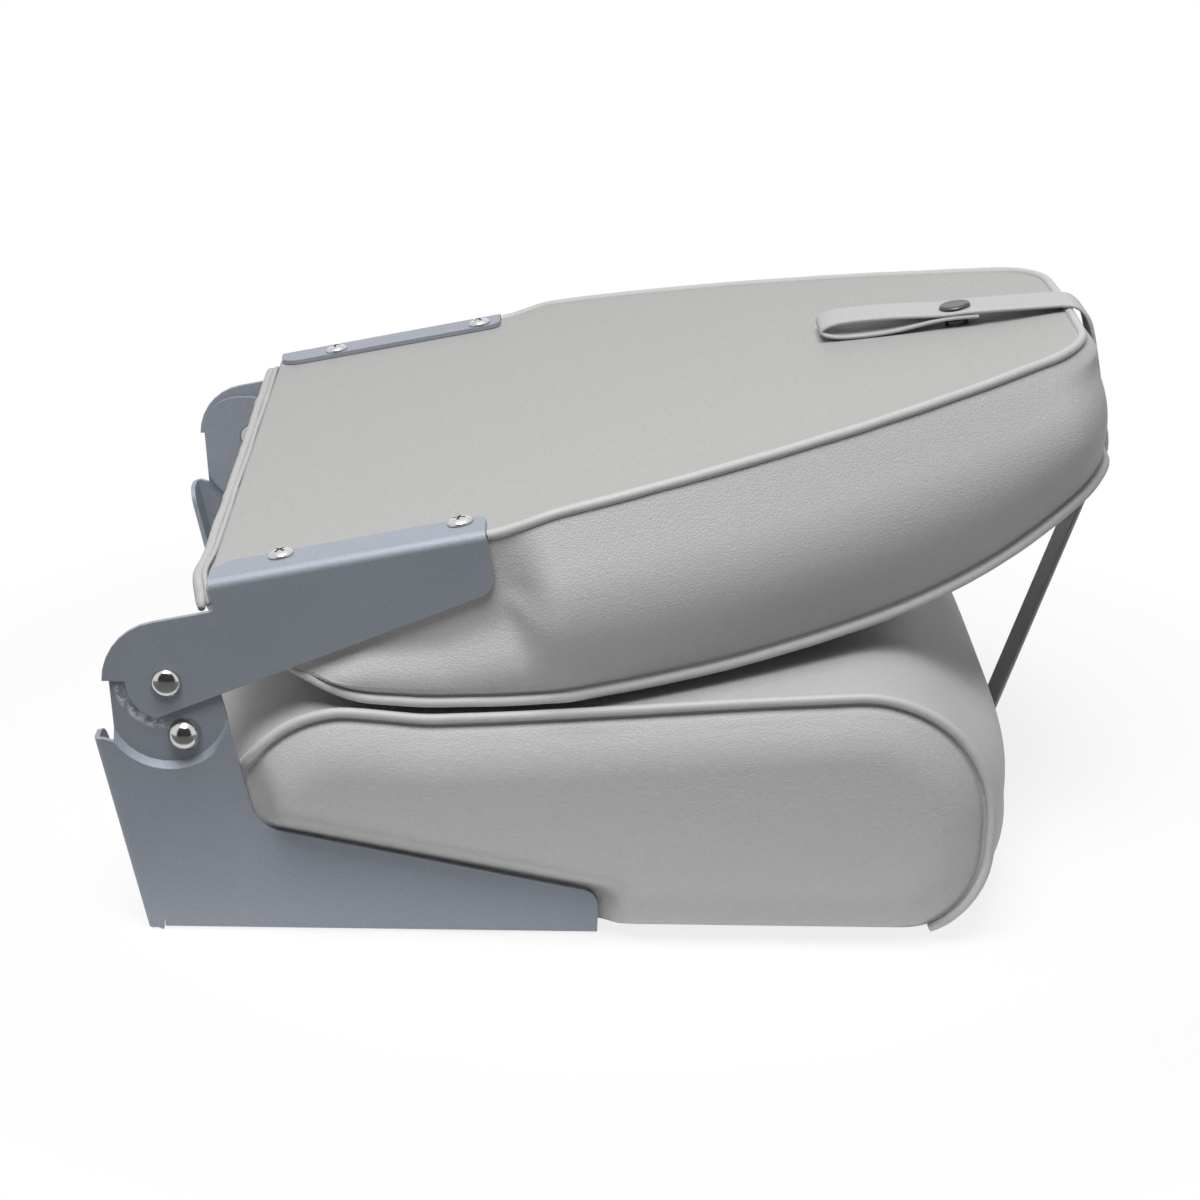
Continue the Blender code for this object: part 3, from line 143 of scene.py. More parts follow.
floor_look = bpy.data.materials.new("matt_white_sheet")
floor_look.use_nodes = True
tree = floor_look.node_tree
tree.nodes.clear()
rays = add_node(tree, "LightPath").outputs
glow = add_node(tree, "Emission", {"Color": (1, 1, 1, 1), "Strength": 1.0})
spot = add_node(tree, "TexCoord").outputs["Object"]
away = add_node(tree, "VectorMath", {0: spot}, operation="LENGTH").outputs["Value"]
sheet = add_node(tree, "MapRange", {"Value": away, **sheet_fade})
paint = add_node(tree, "BsdfDiffuse", {"Color": sheet.outputs[0]})
white = add_node(tree, "MapRange", {"Value": away, **shadow_fade})
seen = add_node(tree, "Math", {0: rays["Is Camera Ray"], 1: rays["Is Glossy Ray"]}, operation="MAXIMUM")
share = add_node(tree, "Math", {0: seen.outputs[0], 1: white.outputs[0]}, operation="MULTIPLY")
mixed = add_node(tree, "MixShader", {0: share.outputs[0], 1: paint.outputs[0], 2: glow.outputs[0]})
add_node(tree, "OutputMaterial", {"Surface": mixed.outputs[0]})
floor_mesh = bpy.data.meshes.new("floor")
turns = np.linspace(0, 2 * math.pi, floor_sides + 1)[:-1]
ring = [(floor_reach * math.cos(t), floor_reach * math.sin(t), floor_z) for t in turns]
floor_mesh.from_pydata(ring, [], [list(range(floor_sides))])
add_piece("floor", floor_mesh, floor_look)

# Cards: matt board, a mid grey one on the floor before the seat and a dark one upright behind the
# camera. Only reflections see them, and they give the steel its darker upright faces.
cards_y, flat_card_z = -2.6, -0.0002
flat_card = ((-1.6, cards_y), (1.6, cards_y), (1.6, -0.246), (-1.6, -0.246))
upright_card = ((-2.5, 0.0), (2.5, 0.0), (2.5, 3.4), (-2.5, 3.4))
for card_name, colour, corners in (
    ("grey_card", "#626262", [(x, y, flat_card_z) for x, y in flat_card]),
    ("dark_card", "#3c3c3c", [(x, cards_y, z) for x, z in upright_card]),
):
    card_look = bpy.data.materials.new("matt_" + card_name)
    card_look.use_nodes = True
    card_look.node_tree.nodes["Principled BSDF"].inputs["Base Color"].default_value = linear(colour)
    card_mesh = bpy.data.meshes.new(card_name)
    card_mesh.from_pydata(corners, [], [(0, 1, 2, 3)])
    card = add_piece(card_name, card_mesh, card_look)
    card.visible_camera = card.visible_diffuse = card.visible_shadow = False

# Hinge bases and arms: 2.5 mm sheet steel, punched, bent on a press brake and powder coated in
# grey-blue. The base is screwed under the seat board, the arm onto the back, and rivets join them.
pivot_x, pivot_z = frame["joints"][0]["pos_m"][0], frame["joints"][0]["pos_m"][2]
broken_edge = 0.0005
rub_inner, rub_outer, rub_fade = (0.0190, 0.0205), (0.0250, 0.0235), 0.010
ear_face, ear_skin = 0.1812, 0.0002


def start_material(name, **values):
    """A material with a principled shader whose uniform values sit on the shader itself."""
    made = bpy.data.materials.new(name)
    made.use_nodes = True
    shader = made.node_tree.nodes["Principled BSDF"]
    for socket, value in values.items():
        shader.inputs[socket.replace("_", " ").title().replace("Ior", "IOR")].default_value = value
    return made, made.node_tree, shader


# Powder coat: baked polyester with metal flake, a faint orange peel and a fine speckle; satin, so bends
# catch a soft bright line and the foot mirrors the floor. The arm's hub has scratched the ear under it.
steel_look, tree, shader = start_material("grey_blue_flake_powder_coat", metallic=0.7)
place = add_node(tree, "TexCoord").outputs["Object"]
speckle = add_node(tree, "TexNoise", {"Vector": place, "Scale": 1 / 0.0007, "Detail": 2.0})
cloudy = add_node(tree, "TexNoise", {"Vector": place, "Scale": 1 / 0.05, "Detail": 3.0})
fleck = add_node(tree, "MapRange", {"Value": speckle.outputs["Fac"], "From Min": 0.3, "From Max": 0.7})
coat = add_node(tree, "MixRGB", {0: fleck.outputs[0], 1: linear("#959aa3"), 2: linear("#a2a7b1")})
patch = add_node(tree, "MapRange", {"Value": cloudy.outputs["Fac"], "To Min": 0.94, "To Max": 1.06})
coat = add_node(tree, "MixRGB", {0: 1.0, 1: coat.outputs[0], 2: patch.outputs[0]}, blend_type="MULTIPLY")
from_pivot = add_node(tree, "VectorMath", {0: place, 1: (pivot_x, 0, pivot_z)}, operation="SUBTRACT")
from_pivot = add_node(tree, "VectorMath", {0: from_pivot.outputs[0], 1: (1, 0, 1)}, operation="MULTIPLY")
radius = add_node(tree, "VectorMath", {0: from_pivot.outputs[0]}, operation="LENGTH").outputs["Value"]
ring_in = add_node(tree, "MapRange", {"Value": radius, "From Min": rub_inner[0], "From Max": rub_inner[1]})
ring_out = add_node(tree, "MapRange", {"Value": radius, "From Min": rub_outer[0], "From Max": rub_outer[1]})
axes = add_node(tree, "SeparateXYZ", {0: place})
sideways = add_node(tree, "Math", {0: axes.outputs["Y"]}, operation="ABSOLUTE")
on_ear = add_node(tree, "Math", {0: sideways.outputs[0], 1: ear_face, 2: ear_skin}, operation="COMPARE")
behind_pivot = {"Value": axes.outputs["X"], "From Min": pivot_x + rub_fade, "From Max": pivot_x}
rearward = add_node(tree, "MapRange", behind_pivot)
scratch = add_node(tree, "TexNoise", {"Vector": place, "Scale": 1 / 0.004, "Detail": 6.0, "Roughness": 0.75})
bare = add_node(tree, "MapRange", {"Value": scratch.outputs["Fac"], "From Min": 0.47, "From Max": 0.55})
rub = ring_in
for mask in (ring_out, bare, on_ear, rearward):
    rub = add_node(tree, "Math", {0: rub.outputs[0], 1: mask.outputs[0]}, operation="MULTIPLY")
coat = add_node(tree, "MixRGB", {0: rub.outputs[0], 1: coat.outputs[0], 2: linear("#d6d8da")})
gloss = add_node(tree, "MapRange", {"Value": cloudy.outputs["Fac"], "To Min": 0.66, "To Max": 0.74})
peel = add_node(tree, "TexNoise", {"Vector": place, "Scale": 1 / 0.0016, "Detail": 1.0})
relief = add_node(tree, "Bump", {"Height": peel.outputs["Fac"], "Strength": 0.1, "Distance": 0.0003})
tree.links.new(coat.outputs[0], shader.inputs["Base Color"])
tree.links.new(gloss.outputs[0], shader.inputs["Roughness"])
tree.links.new(relief.outputs[0], shader.inputs["Normal"])


def edged_copy(name, node, width, look):
    """A copy of a rigid node with its sharp edges broken, to stand for it."""
    bm = bmesh.new()
    bm.from_mesh(frame["nodes"][node].data)
    bmesh.ops.remove_doubles(bm, verts=bm.verts, dist=1e-6)
    bmesh.ops.dissolve_limit(bm, angle_limit=math.radians(0.5), verts=bm.verts, edges=bm.edges)
    mesh = bpy.data.meshes.new(name)
    bm.to_mesh(mesh)
    bm.free()
    mesh.materials.clear()
    mesh.shade_smooth()
    piece = add_piece(name, mesh, look)
    edge = piece.modifiers.new("broken_edge", "BEVEL")
    edge.width = width
    edge.segments = 2
    edge.limit_method = "ANGLE"
    edge.angle_limit = math.radians(40)
    flats = piece.modifiers.new("flat_faces", "WEIGHTED_NORMAL")
    flats.weight = 90
    flats.keep_sharp = True
    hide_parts(node)
    return piece


for side_word in ("left", "right"):
    for kind, body in (("base", "seat_base"), ("arm", "backrest")):
        node = f"hinge_{kind}_{side_word}"
        piece = edged_copy(f"hinge_{kind}_steel_{side_word}", node, broken_edge, steel_look)
        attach(piece, body)

# Rivets: cold-headed steel, polished and nickel plated. The flatter one is the pivot through arm and
# ear, and the taller one in the ear is the stop that the arm's step meets.
rivet_facets, rivet_shank = 56, 0.004
pivot_head, stop_head, clench = (0.0067, 0.0042), (0.00755, 0.0075), (0.0062, 0.0022)
head_crown, head_rim = 0.86, 0.985
clench_shape = ((1.0, 1.0), (0.97, 0.5), (0.8, 0.0))

# Polished nickel: a mirror with faint wear, which shows the white floor, the sky and the dark front.
nickel_look, tree, shader = start_material("polished_nickel", base_color=linear("#c9c9c8"), metallic=1.0)
place = add_node(tree, "TexCoord").outputs["Object"]
wear = add_node(tree, "TexNoise", {"Vector": place, "Scale": 1 / 0.0015, "Detail": 5.0})
gloss = add_node(tree, "MapRange", {"Value": wear.outputs["Fac"], "To Min": 0.08, "To Max": 0.22})
tree.links.new(gloss.outputs[0], shader.inputs["Roughness"])


def lathe(name, profile, place, look, facets):
    """A turned piece from (radius, height) points, stood at a place whose Z is its axis."""
    bm = bmesh.new()
    spine = [bm.verts.new((r, 0.0, h)) for r, h in profile]
    edges = [bm.edges.new(pair) for pair in zip(spine, spine[1:])]
    turned = {"axis": (0, 0, 1), "cent": (0, 0, 0), "angle": 2 * math.pi}
    bmesh.ops.spin(bm, geom=spine + edges, steps=facets, use_merge=True, **turned)
    bmesh.ops.remove_doubles(bm, verts=bm.verts, dist=1e-7)
    bmesh.ops.recalc_face_normals(bm, faces=bm.faces)
    bm.transform(place)
    mesh = bpy.data.meshes.new(name)
    bm.to_mesh(mesh)
    bm.free()
    mesh.shade_smooth()
    mesh.set_sharp_from_angle(angle=math.radians(40))
    return add_piece(name, mesh, look)


for side, side_word in ((1, "left"), (-1, "right")):
    for kind, (radius, height) in (("pivot", pivot_head), ("stop", stop_head)):
        node = f"{kind}_rivet_{side_word}"
        low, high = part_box(node)
        middle = (low + high) / 2
        tip = high.y if side > 0 else -low.y
        foot = low.y if side > 0 else -high.y
        quarter = np.linspace(0, math.pi / 2, 15)
        bow = [(radius * math.sin(t), tip - height * head_crown * (1 - math.cos(t))) for t in quarter]
        seat = tip - height
        shank = [(radius * head_rim, seat), (rivet_shank, seat), (rivet_shank, foot + clench[1])]
        tail = [(clench[0] * r, foot + clench[1] * h) for r, h in clench_shape]
        profile = bow + shank + tail + [(0, foot)]
        place = Matrix.Translation((middle.x, 0, middle.z)) @ Matrix.Rotation(-side * math.pi / 2, 4, "X")
        piece = lathe(f"{kind}_rivet_nickel_{side_word}", profile, place, nickel_look, rivet_facets)
        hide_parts(node)
        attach(piece, "seat_base")

# Base board, tee nuts and base screws: 12 mm plywood with pressed-in zinc tee nuts for a swivel plate,
# and countersunk zinc screws through the hinge flanges. The back has a 10 mm board of its own.

# Plywood: rotary-cut softwood veneer, raw, so the eye gets long pale and brown cathedral grain. The
# grain is drawn 250 mm long, 25 mm wide and 3.3 mm deep, about the thickness of a ply.
ply_look, tree, shader = start_material("rotary_cut_plywood", roughness=0.72)
place = add_node(tree, "TexCoord").outputs["Object"]
long_way = add_node(tree, "Mapping", {"Vector": place, "Scale": (4.0, 40.0, 300.0)})
figure = add_node(tree, "TexNoise", {"Vector": long_way.outputs[0], "Scale": 1.6, "Detail": 4.0})
bands = add_node(tree, "Math", {0: figure.outputs["Fac"], 1: 9.0}, operation="MULTIPLY")
bands = add_node(tree, "Math", {0: bands.outputs[0], 1: 1.0}, operation="PINGPONG")
pores = add_node(tree, "TexNoise", {"Vector": long_way.outputs[0], "Scale": 25.0, "Detail": 2.0})
grain = add_node(tree, "MixRGB", {0: bands.outputs[0], 1: linear("#c9a877"), 2: linear("#a9814f")})
fine = add_node(tree, "MapRange", {"Value": pores.outputs["Fac"], "To Min": 0.82, "To Max": 1.12})
grain = add_node(tree, "MixRGB", {0: 1.0, 1: grain.outputs[0], 2: fine.outputs[0]}, blend_type="MULTIPLY")
relief = add_node(tree, "Bump", {"Height": pores.outputs["Fac"], "Strength": 0.25, "Distance": 0.0003})
tree.links.new(grain.outputs[0], shader.inputs["Base Color"])
tree.links.new(relief.outputs[0], shader.inputs["Normal"])

# Bright zinc plate: a thin electroplate over steel, greyer and softer than nickel, a little blotchy.
zinc_look, tree, shader = start_material("bright_zinc_plate", metallic=1.0)
place = add_node(tree, "TexCoord").outputs["Object"]
blotch = add_node(tree, "TexNoise", {"Vector": place, "Scale": 1 / 0.002, "Detail": 4.0})
tone = add_node(tree, "MixRGB", {0: blotch.outputs["Fac"], 1: linear("#b3b6b8"), 2: linear("#d2d3d0")})
gloss = add_node(tree, "MapRange", {"Value": blotch.outputs["Fac"], "To Min": 0.18, "To Max": 0.36})
tree.links.new(tone.outputs[0], shader.inputs["Base Color"])
tree.links.new(gloss.outputs[0], shader.inputs["Roughness"])

for name, node in frame["nodes"].items():
    if name in ("seat_base_board", "back_board"):
        node.material_slots[0].material = ply_look
    elif name.startswith(("tee_nut", "base_screw", "strap_anchor_screw")):
        node.material_slots[0].material = zinc_look

# Seat cushion: foam on the base board under a cover of light grey marine vinyl, sewn from one long
# top panel and two side panels, pulled down and turned in under the board.
gap = 0.0003
rear_x, seat_bottom = -0.2210, 0.0028
seat_rear, seat_front = rear_x + 0.0395, rear_x + 0.3840
seat_rear_h, seat_front_h = 0.1054, 0.1213
seat_half, span_half = 0.1809, 0.184
welt_r = 0.0023
neck_at, neck_h, neck_lean = rear_x + 0.0515, 0.0530, math.tan(math.radians(13.7))
base_front, base_front_h = rear_x + 0.207, 0.0218
board_top, board_clear = 0.0163, 0.001
side_low_r, side_swell, side_run = 0.011, 0.005, 0.010
puff_slope, puff_straight, puff_end, puff_run = 0.65, 0.010, 0.027, 0.016
seam_groove, groove_in, groove_w = 0.0015, 0.0026, 0.0011
dip, dip_start, dip_run, dip_end, dip_fade = 0.0046, 0.085, 0.050, 0.330, 0.195
seat_crown, more_crown, crown_start, crown_run = 0.0038, 0.0017, 0.225, 0.100
front_swell, low_front_swell, rear_swell = 0.021, 0.022, 0.022
turn_in_rear, turn_in_front, turn_in_side = 0.018, 0.055, 0.0171
seat_points = 220


def ease(t):
    """Smooth step from 0 to 1."""
    t = np.clip(t, 0.0, 1.0)
    return t * t * (3 - 2 * t)


def rounded(corners, closed=True):
    """Points of an outline whose corners (a, b, radius) are finely stepped arcs."""
    points = []
    count = len(corners)
    for i, (a, b, r) in enumerate(corners):
        here = np.array([a, b])
        if r == 0 or (not closed and i in (0, count - 1)):
            points.append(here)
            continue
        before = np.array(corners[i - 1][:2]) - here
        after = np.array(corners[(i + 1) % count][:2]) - here
        before /= np.linalg.norm(before)
        after /= np.linalg.norm(after)
        opening = math.acos(np.clip(before @ after, -1, 1))
        bisector = (before + after) / np.linalg.norm(before + after)
        centre = here + bisector * r / math.sin(opening / 2)
        first = here + before * r / math.tan(opening / 2) - centre
        last = here + after * r / math.tan(opening / 2) - centre
        sense = np.sign(first[0] * last[1] - first[1] * last[0])
        for k in np.linspace(0, 1, 25):
            c, s = math.cos(sense * (math.pi - opening) * k), math.sin(sense * (math.pi - opening) * k)
            points.append(centre + np.array([c * first[0] - s * first[1], s * first[0] + c * first[1]]))
    return points


def evenly(points, count, closed=True):
    """The same line with its points evenly spaced."""
    points = np.asarray(points)
    points = np.vstack([points, points[:1]]) if closed else points
    run = np.concatenate([[0], np.cumsum(np.linalg.norm(np.diff(points, axis=0), axis=1))])
    at = np.linspace(0, run[-1], count + 1)[:-1] if closed else np.linspace(0, run[-1], count)
    return np.stack([np.interp(at, run, axis) for axis in points.T], axis=1)


def normals_of(points, closed=True):
    """Unit normals on the right of the direction of travel."""
    if closed:
        along = np.roll(points, -1, axis=0) - np.roll(points, 1, axis=0)
    else:
        along = np.gradient(points, axis=0)
    along = along / np.linalg.norm(along, axis=1)[:, None]
    return np.stack([along[:, 1], -along[:, 0]], axis=1)


def skin(name, loops, look):
    """A closed mesh through loops of equal, even count, with rungs across the first and the last."""
    loops = np.asarray(loops, float)
    rows, count = loops.shape[:2]
    points = [tuple(p) for p in loops.reshape(-1, 3)]
    faces = []
    for row in range(rows - 1):
        for i in range(count):
            j = (i + 1) % count
            faces.append((row * count + i, row * count + j, (row + 1) * count + j, (row + 1) * count + i))
    for first in (0, (rows - 1) * count):
        for i in range(count // 2 - 1):
            faces.append((first + i, first + i + 1, first + count - 2 - i, first + count - 1 - i))
    bm = bmesh.new()
    made = [bm.verts.new(p) for p in points]
    for face in faces:
        bm.faces.new([made[i] for i in face])
    bmesh.ops.recalc_face_normals(bm, faces=bm.faces)
    mesh = bpy.data.meshes.new(name)
    bm.to_mesh(mesh)
    bm.free()
    mesh.shade_smooth()
    return add_piece(name, mesh, look)


def seat_dip(x):
    """How far the folded back presses the seat's top seam down."""
    at = x - rear_x
    pressed, freed = ease((at - dip_start) / dip_run), ease((dip_end - at) / dip_fade)
    return dip * np.where(at < dip_start + dip_run, pressed, freed)


def neck_x(z):
    """Front edge of the hinge base's neck at a height."""
    return neck_at - (z - neck_h) * neck_lean


def clear_of_base(x, z, run):
    """Share of the swelling that a point of the seat's side has outside the hinge base's plate."""
    edge = neck_h + (base_front_h - neck_h) * (x - neck_at) / (base_front - neck_at)
    above = np.minimum(z - edge - gap, x - neck_x(z) - welt_r)
    return 1 - (1 - ease((x - base_front - gap) / run)) * (1 - ease(above / run))


def seat_side(x, z):
    """Half width of the seat at a point of its side seam or side panel."""
    under = np.clip(side_low_r - (z - seat_bottom), 0.0, side_low_r)
    tuck = side_low_r - np.sqrt(side_low_r**2 - under**2)
    return seat_half - tuck + side_swell * clear_of_base(x, z, side_run)


seat_corners = [
    (seat_rear, seat_bottom, 0.008),
    (seat_front, seat_bottom, 0.045),
    (seat_front, seat_bottom + seat_front_h, 0.060),
    (seat_rear, seat_bottom + seat_rear_h, 0.055),
]
seat_line = evenly(rounded(seat_corners), seat_points)
seat_out = normals_of(seat_line)
seat_line[:, 1] -= seat_dip(seat_line[:, 0]) * np.maximum(seat_out[:, 1], 0)
line_x, line_z = seat_line.T
crown = seat_crown + more_crown * ease((line_x - rear_x - crown_start) / crown_run)
crown = crown * np.maximum(seat_out[:, 1], 0) ** 2
forward_share, downward_share = np.maximum(seat_out[:, 0], 0), np.maximum(-seat_out[:, 1], 0)
ends = front_swell * forward_share ** np.where(seat_out[:, 1] > 0, 7, 3)
ends = ends + low_front_swell * forward_share**6 * downward_share
ends = ends + rear_swell * np.maximum(-seat_out[:, 0], 0) ** 2
by_seam = np.array([0.93, 0.96, 0.985, 1.0])
seat_loops = []
for across in np.concatenate([-by_seam[::-1], np.linspace(-0.89, 0.89, 41), by_seam]):
    swell = crown * (1 - abs(across) ** 6) + ends * (1 - across**4)
    x = line_x + seat_out[:, 0] * swell
    y = across * seat_side(line_x, line_z)
    z = np.maximum(line_z + seat_out[:, 1] * swell, seat_bottom)
    pocket = (z < seat_bottom + 1e-5) & (x > seat_rear + turn_in_rear) & (x < seat_front - turn_in_front)
    pocket = pocket & (np.abs(y) < seat_half - turn_in_side)
    seat_loops.append(np.stack([x, y, np.where(pocket, board_top + board_clear, z)], axis=1))
drawn_in = [seat_line - seat_out * d for d in (0.0010, 0.0018, 0.0026, 0.0034, 0.0044, 0.0060)]
seat_middle = seat_line.mean(axis=0)
shrunk = [seat_middle + (drawn_in[-1] - seat_middle) * f for f in np.linspace(0.975, 0.12, 34)]
for ring in drawn_in + shrunk:
    x, z = ring.T
    apart = np.linalg.norm(ring[:, None] - seat_line[None], axis=2).min(axis=1)
    run = np.minimum(apart, puff_end)
    puff = run - np.maximum(run - puff_straight, 0) ** 2 / (2 * (puff_end - puff_straight))
    y = seat_side(x, z) + puff_slope * puff * clear_of_base(x, z, puff_run)
    y = y - seam_groove * np.exp(-(((apart - groove_in) / groove_w) ** 2))
    seat_loops.append(np.stack([x, y, z], axis=1))
    seat_loops.insert(0, np.stack([x, -y, z], axis=1))

# Marine vinyl: PVC calendered onto knit and embossed with a fine leather grain; matt, a little lighter
# on the stretched crowns, with hair-fine creases where it bends. Grain drawn coarse enough to show.
vinyl_look, tree, shader = start_material("embossed_marine_vinyl", specular_ior_level=0.45)
place = add_node(tree, "TexCoord").outputs["Object"]
warp = add_node(tree, "TexNoise", {"Vector": place, "Scale": 1 / 0.006, "Detail": 2.0})
bent = add_node(tree, "VectorMath", {0: warp.outputs["Color"], 1: (0.0016,) * 3}, operation="MULTIPLY")
bent = add_node(tree, "VectorMath", {0: place, 1: bent.outputs[0]}, operation="ADD")
cells = {"Vector": bent.outputs[0], "Scale": 1 / 0.0016}
pebble = add_node(tree, "TexVoronoi", cells, feature="DISTANCE_TO_EDGE")
pebble = add_node(tree, "MapRange", {"Value": pebble.outputs["Distance"], "From Max": 0.22})
wide_warp = add_node(tree, "TexNoise", {"Vector": place, "Scale": 1 / 0.03, "Detail": 4.0})
folded = add_node(tree, "VectorMath", {0: wide_warp.outputs["Color"], 1: (0.03,) * 3}, operation="MULTIPLY")
folded = add_node(tree, "VectorMath", {0: place, 1: folded.outputs[0]}, operation="ADD")
cells = {"Vector": folded.outputs[0], "Scale": 1 / 0.034}
crease = add_node(tree, "TexVoronoi", cells, feature="DISTANCE_TO_EDGE")
crease = add_node(tree, "MapRange", {"Value": crease.outputs["Distance"], "From Max": 0.025})
faint = add_node(tree, "TexNoise", {"Vector": place, "Scale": 1 / 0.045, "Detail": 1.0})
faint = add_node(tree, "MapRange", {"Value": faint.outputs["Fac"], "From Min": 0.5, "From Max": 0.66})
crease = add_node(tree, "MixRGB", {0: faint.outputs[0], 1: (1, 1, 1, 1), 2: crease.outputs[0]})
grain = add_node(tree, "Bump", {"Height": pebble.outputs[0], "Strength": 0.35, "Distance": 0.0003})
folds = {"Height": crease.outputs[0], "Strength": 0.14, "Distance": 0.0006, "Normal": grain.outputs[0]}
relief = add_node(tree, "Bump", folds)
tone = add_node(tree, "TexNoise", {"Vector": place, "Scale": 1 / 0.002, "Detail": 3.0})
tint = add_node(tree, "MixRGB", {0: tone.outputs["Fac"], 1: linear("#aeaead"), 2: linear("#bababa")})
gloss = add_node(tree, "MapRange", {"Value": pebble.outputs[0], "To Min": 0.58, "To Max": 0.46})
tree.links.new(tint.outputs[0], shader.inputs["Base Color"])
tree.links.new(gloss.outputs[0], shader.inputs["Roughness"])
tree.links.new(relief.outputs[0], shader.inputs["Normal"])


def subdivide(piece):
    """One level of smooth subdivision, for a soft piece."""
    smooth = piece.modifiers.new("fine", "SUBSURF")
    smooth.levels = smooth.render_levels = 1


seat_cushion = skin("seat_cushion", seat_loops, vinyl_look)
subdivide(seat_cushion)
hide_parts("seat_cover", "seat_foam")
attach(seat_cushion, "seat_base")

# Seat welts: a strip of the same vinyl folded over a 4 mm cord and sewn into each side seam, from low
# behind the hinge base over the top and down the front.
welt_sunk, welt_front_end = 0.0010, 0.004
plate_in, plate_run = 0.1815, 0.006
sewn_wander, sewn_pucker, sewn_seed = 0.00018, 0.05, 7
noise.seed_set(sewn_seed)

# Welt vinyl: the same sheet stretched round the cord, so smoother, and paler where it bends.
welt_look, tree, shader = start_material("stretched_welt_vinyl", specular_ior_level=0.45, roughness=0.5)
place = add_node(tree, "TexCoord").outputs["Object"]
tone = add_node(tree, "TexNoise", {"Vector": place, "Scale": 1 / 0.0025, "Detail": 3.0})
tint = add_node(tree, "MixRGB", {0: tone.outputs["Fac"], 1: linear("#b4b4b3"), 2: linear("#c2c2c1")})
pucker = add_node(tree, "TexNoise", {"Vector": place, "Scale": 1 / 0.0018, "Detail": 2.0})
relief = add_node(tree, "Bump", {"Height": pucker.outputs["Fac"], "Strength": 0.2, "Distance": 0.0004})
tree.links.new(tint.outputs[0], shader.inputs["Base Color"])
tree.links.new(relief.outputs[0], shader.inputs["Normal"])


def bead(name, points, look, thick):
    """A round bead along points, a little uneven as it was sewn."""
    curve = bpy.data.curves.new(name, "CURVE")
    curve.dimensions = "3D"
    curve.bevel_depth = thick
    curve.bevel_resolution = 5
    curve.use_fill_caps = True
    spline = curve.splines.new("POLY")
    spline.points.add(len(points) - 1)
    for point, place in zip(spline.points, points):
        here = Vector(place)
        shift = noise.noise_vector(here / 0.02) * sewn_wander
        point.co = (*(here + shift), 1.0)
        point.radius = 1 + sewn_pucker * noise.noise(here / 0.012)
    spline.use_smooth = True
    return add_piece(name, curve, look)


for side, side_word in ((1, "left"), (-1, "right")):
    route = []
    half = seat_side(line_x, line_z) + welt_sunk
    behind = ease((neck_x(line_z) + plate_run - line_x) / plate_run)
    half = half + (np.minimum(half, plate_in - welt_r - 2 * gap) - half) * behind
    for (x, z), out, y in zip(seat_line, seat_out, half):
        if z > seat_bottom + (welt_front_end if x > 0 else side_low_r):
            route.append((x + out[0] * welt_sunk, side * y, z + out[1] * welt_sunk))
    piece = bead(f"seat_welt_bead_{side_word}", route, welt_look, welt_r)
    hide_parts(f"seat_welt_{side_word}")
    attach(piece, "seat_base")

# Back cushion: foam on the back's board under a vinyl cover of a front panel and one boxing strip,
# 85 mm deep, tapered to the top. It is held between the arms and swells out past them.
slope = math.radians(11.8)
arm_rear, arm_length, arm_low, arm_taper = 0.0285, 0.1245, 0.0144, math.radians(10.9)
panel_v = 0.0403
back_length, back_bow, back_half = 0.4124, 0.0012, 0.1803
front_wider, front_start, front_start_half = 0.004, 0.012, 0.172
rear_start, front_full, taper_start, taper_middle = -0.002, 0.055, 0.147, 0.2765
middle_in, top_in, middle_r, top_r, blend_r = 0.0339, 0.112, 0.75, 0.045, 0.030
hinge_points, side_points, end_points = 28, 84, 34
box_swell, box_start, box_run = 0.0168, 0.004, 0.016
hang_round, hang_straight, hang_bend, hang_fall, hang_most = 0.27, 0.75, 2.125, 1.04, 0.3875
arm_room, arm_ease, held_run, held_most = 0.012, 0.4, 0.024, 0.6
end_swell, end_bow, end_drop, drop_half, drop_start, drop_run = 0.0066, 0.0035, 0.0040, 0.046, 0.29, 0.12
strap_y, strap_press, strap_flat = -0.0042, 0.018, 0.6
shoulder, shoulder_at, shoulder_w = 0.0042, 0.11, 0.085
hinge_end_swell, hinge_run, hinge_half, hinge_fade = 0.0075, 0.010, 0.165, 0.012
edge_up, edge_up_start, edge_up_run = 0.0036, 0.002, 0.030
edge_up_less, less_start, less_run = 0.35, 0.17, 0.20
back_crown, more_back_crown, back_crown_start, back_crown_run = 0.0038, 0.0042, 0.200, 0.100
cover_rear = 0.0015
edge_knots = (
    (0.012, 0.0333),
    (0.045, 0.0580),
    (0.075, 0.0680),
    (0.107, 0.0744),
    (0.180, 0.0826),
    (0.235, 0.0858),
    (0.365, 0.0765),
    (0.4124, 0.0600),
)


def smooth_curve(knots, t):
    """Cubic through the knots (position, value), read at an array of positions."""
    at, value = np.array(knots).T
    rise = np.gradient(value, at)
    t = np.clip(t, at[0], at[-1])
    i = np.clip(np.searchsorted(at, t, side="right") - 1, 0, len(at) - 2)
    width = at[i + 1] - at[i]
    f = (t - at[i]) / width
    return (
        (2 * f**3 - 3 * f**2 + 1) * value[i]
        + (f**3 - 2 * f**2 + f) * width * rise[i]
        + (3 * f**2 - 2 * f**3) * value[i + 1]
        + (f**3 - f**2) * width * rise[i + 1]
    )


def back_place(s, y, v):
    """Points in the part's frame from distances along, across and over the back's rear face."""
    u, w = arm_rear + s, panel_v + v
    x = pivot_x + u * math.cos(slope) - w * math.sin(slope)
    z = pivot_z + u * math.sin(slope) + w * math.cos(slope)
    return np.stack([x, y + 0 * x, z], axis=-1)


def edge_depth(s, y):
    """Depth of the front panel's seam or plane, which foam pushes down in the middle of the top end."""
    middle = np.exp(-(((y - strap_y) / drop_half) ** 2))
    return smooth_curve(edge_knots, s) + end_drop * middle * ease((s - drop_start) / drop_run)


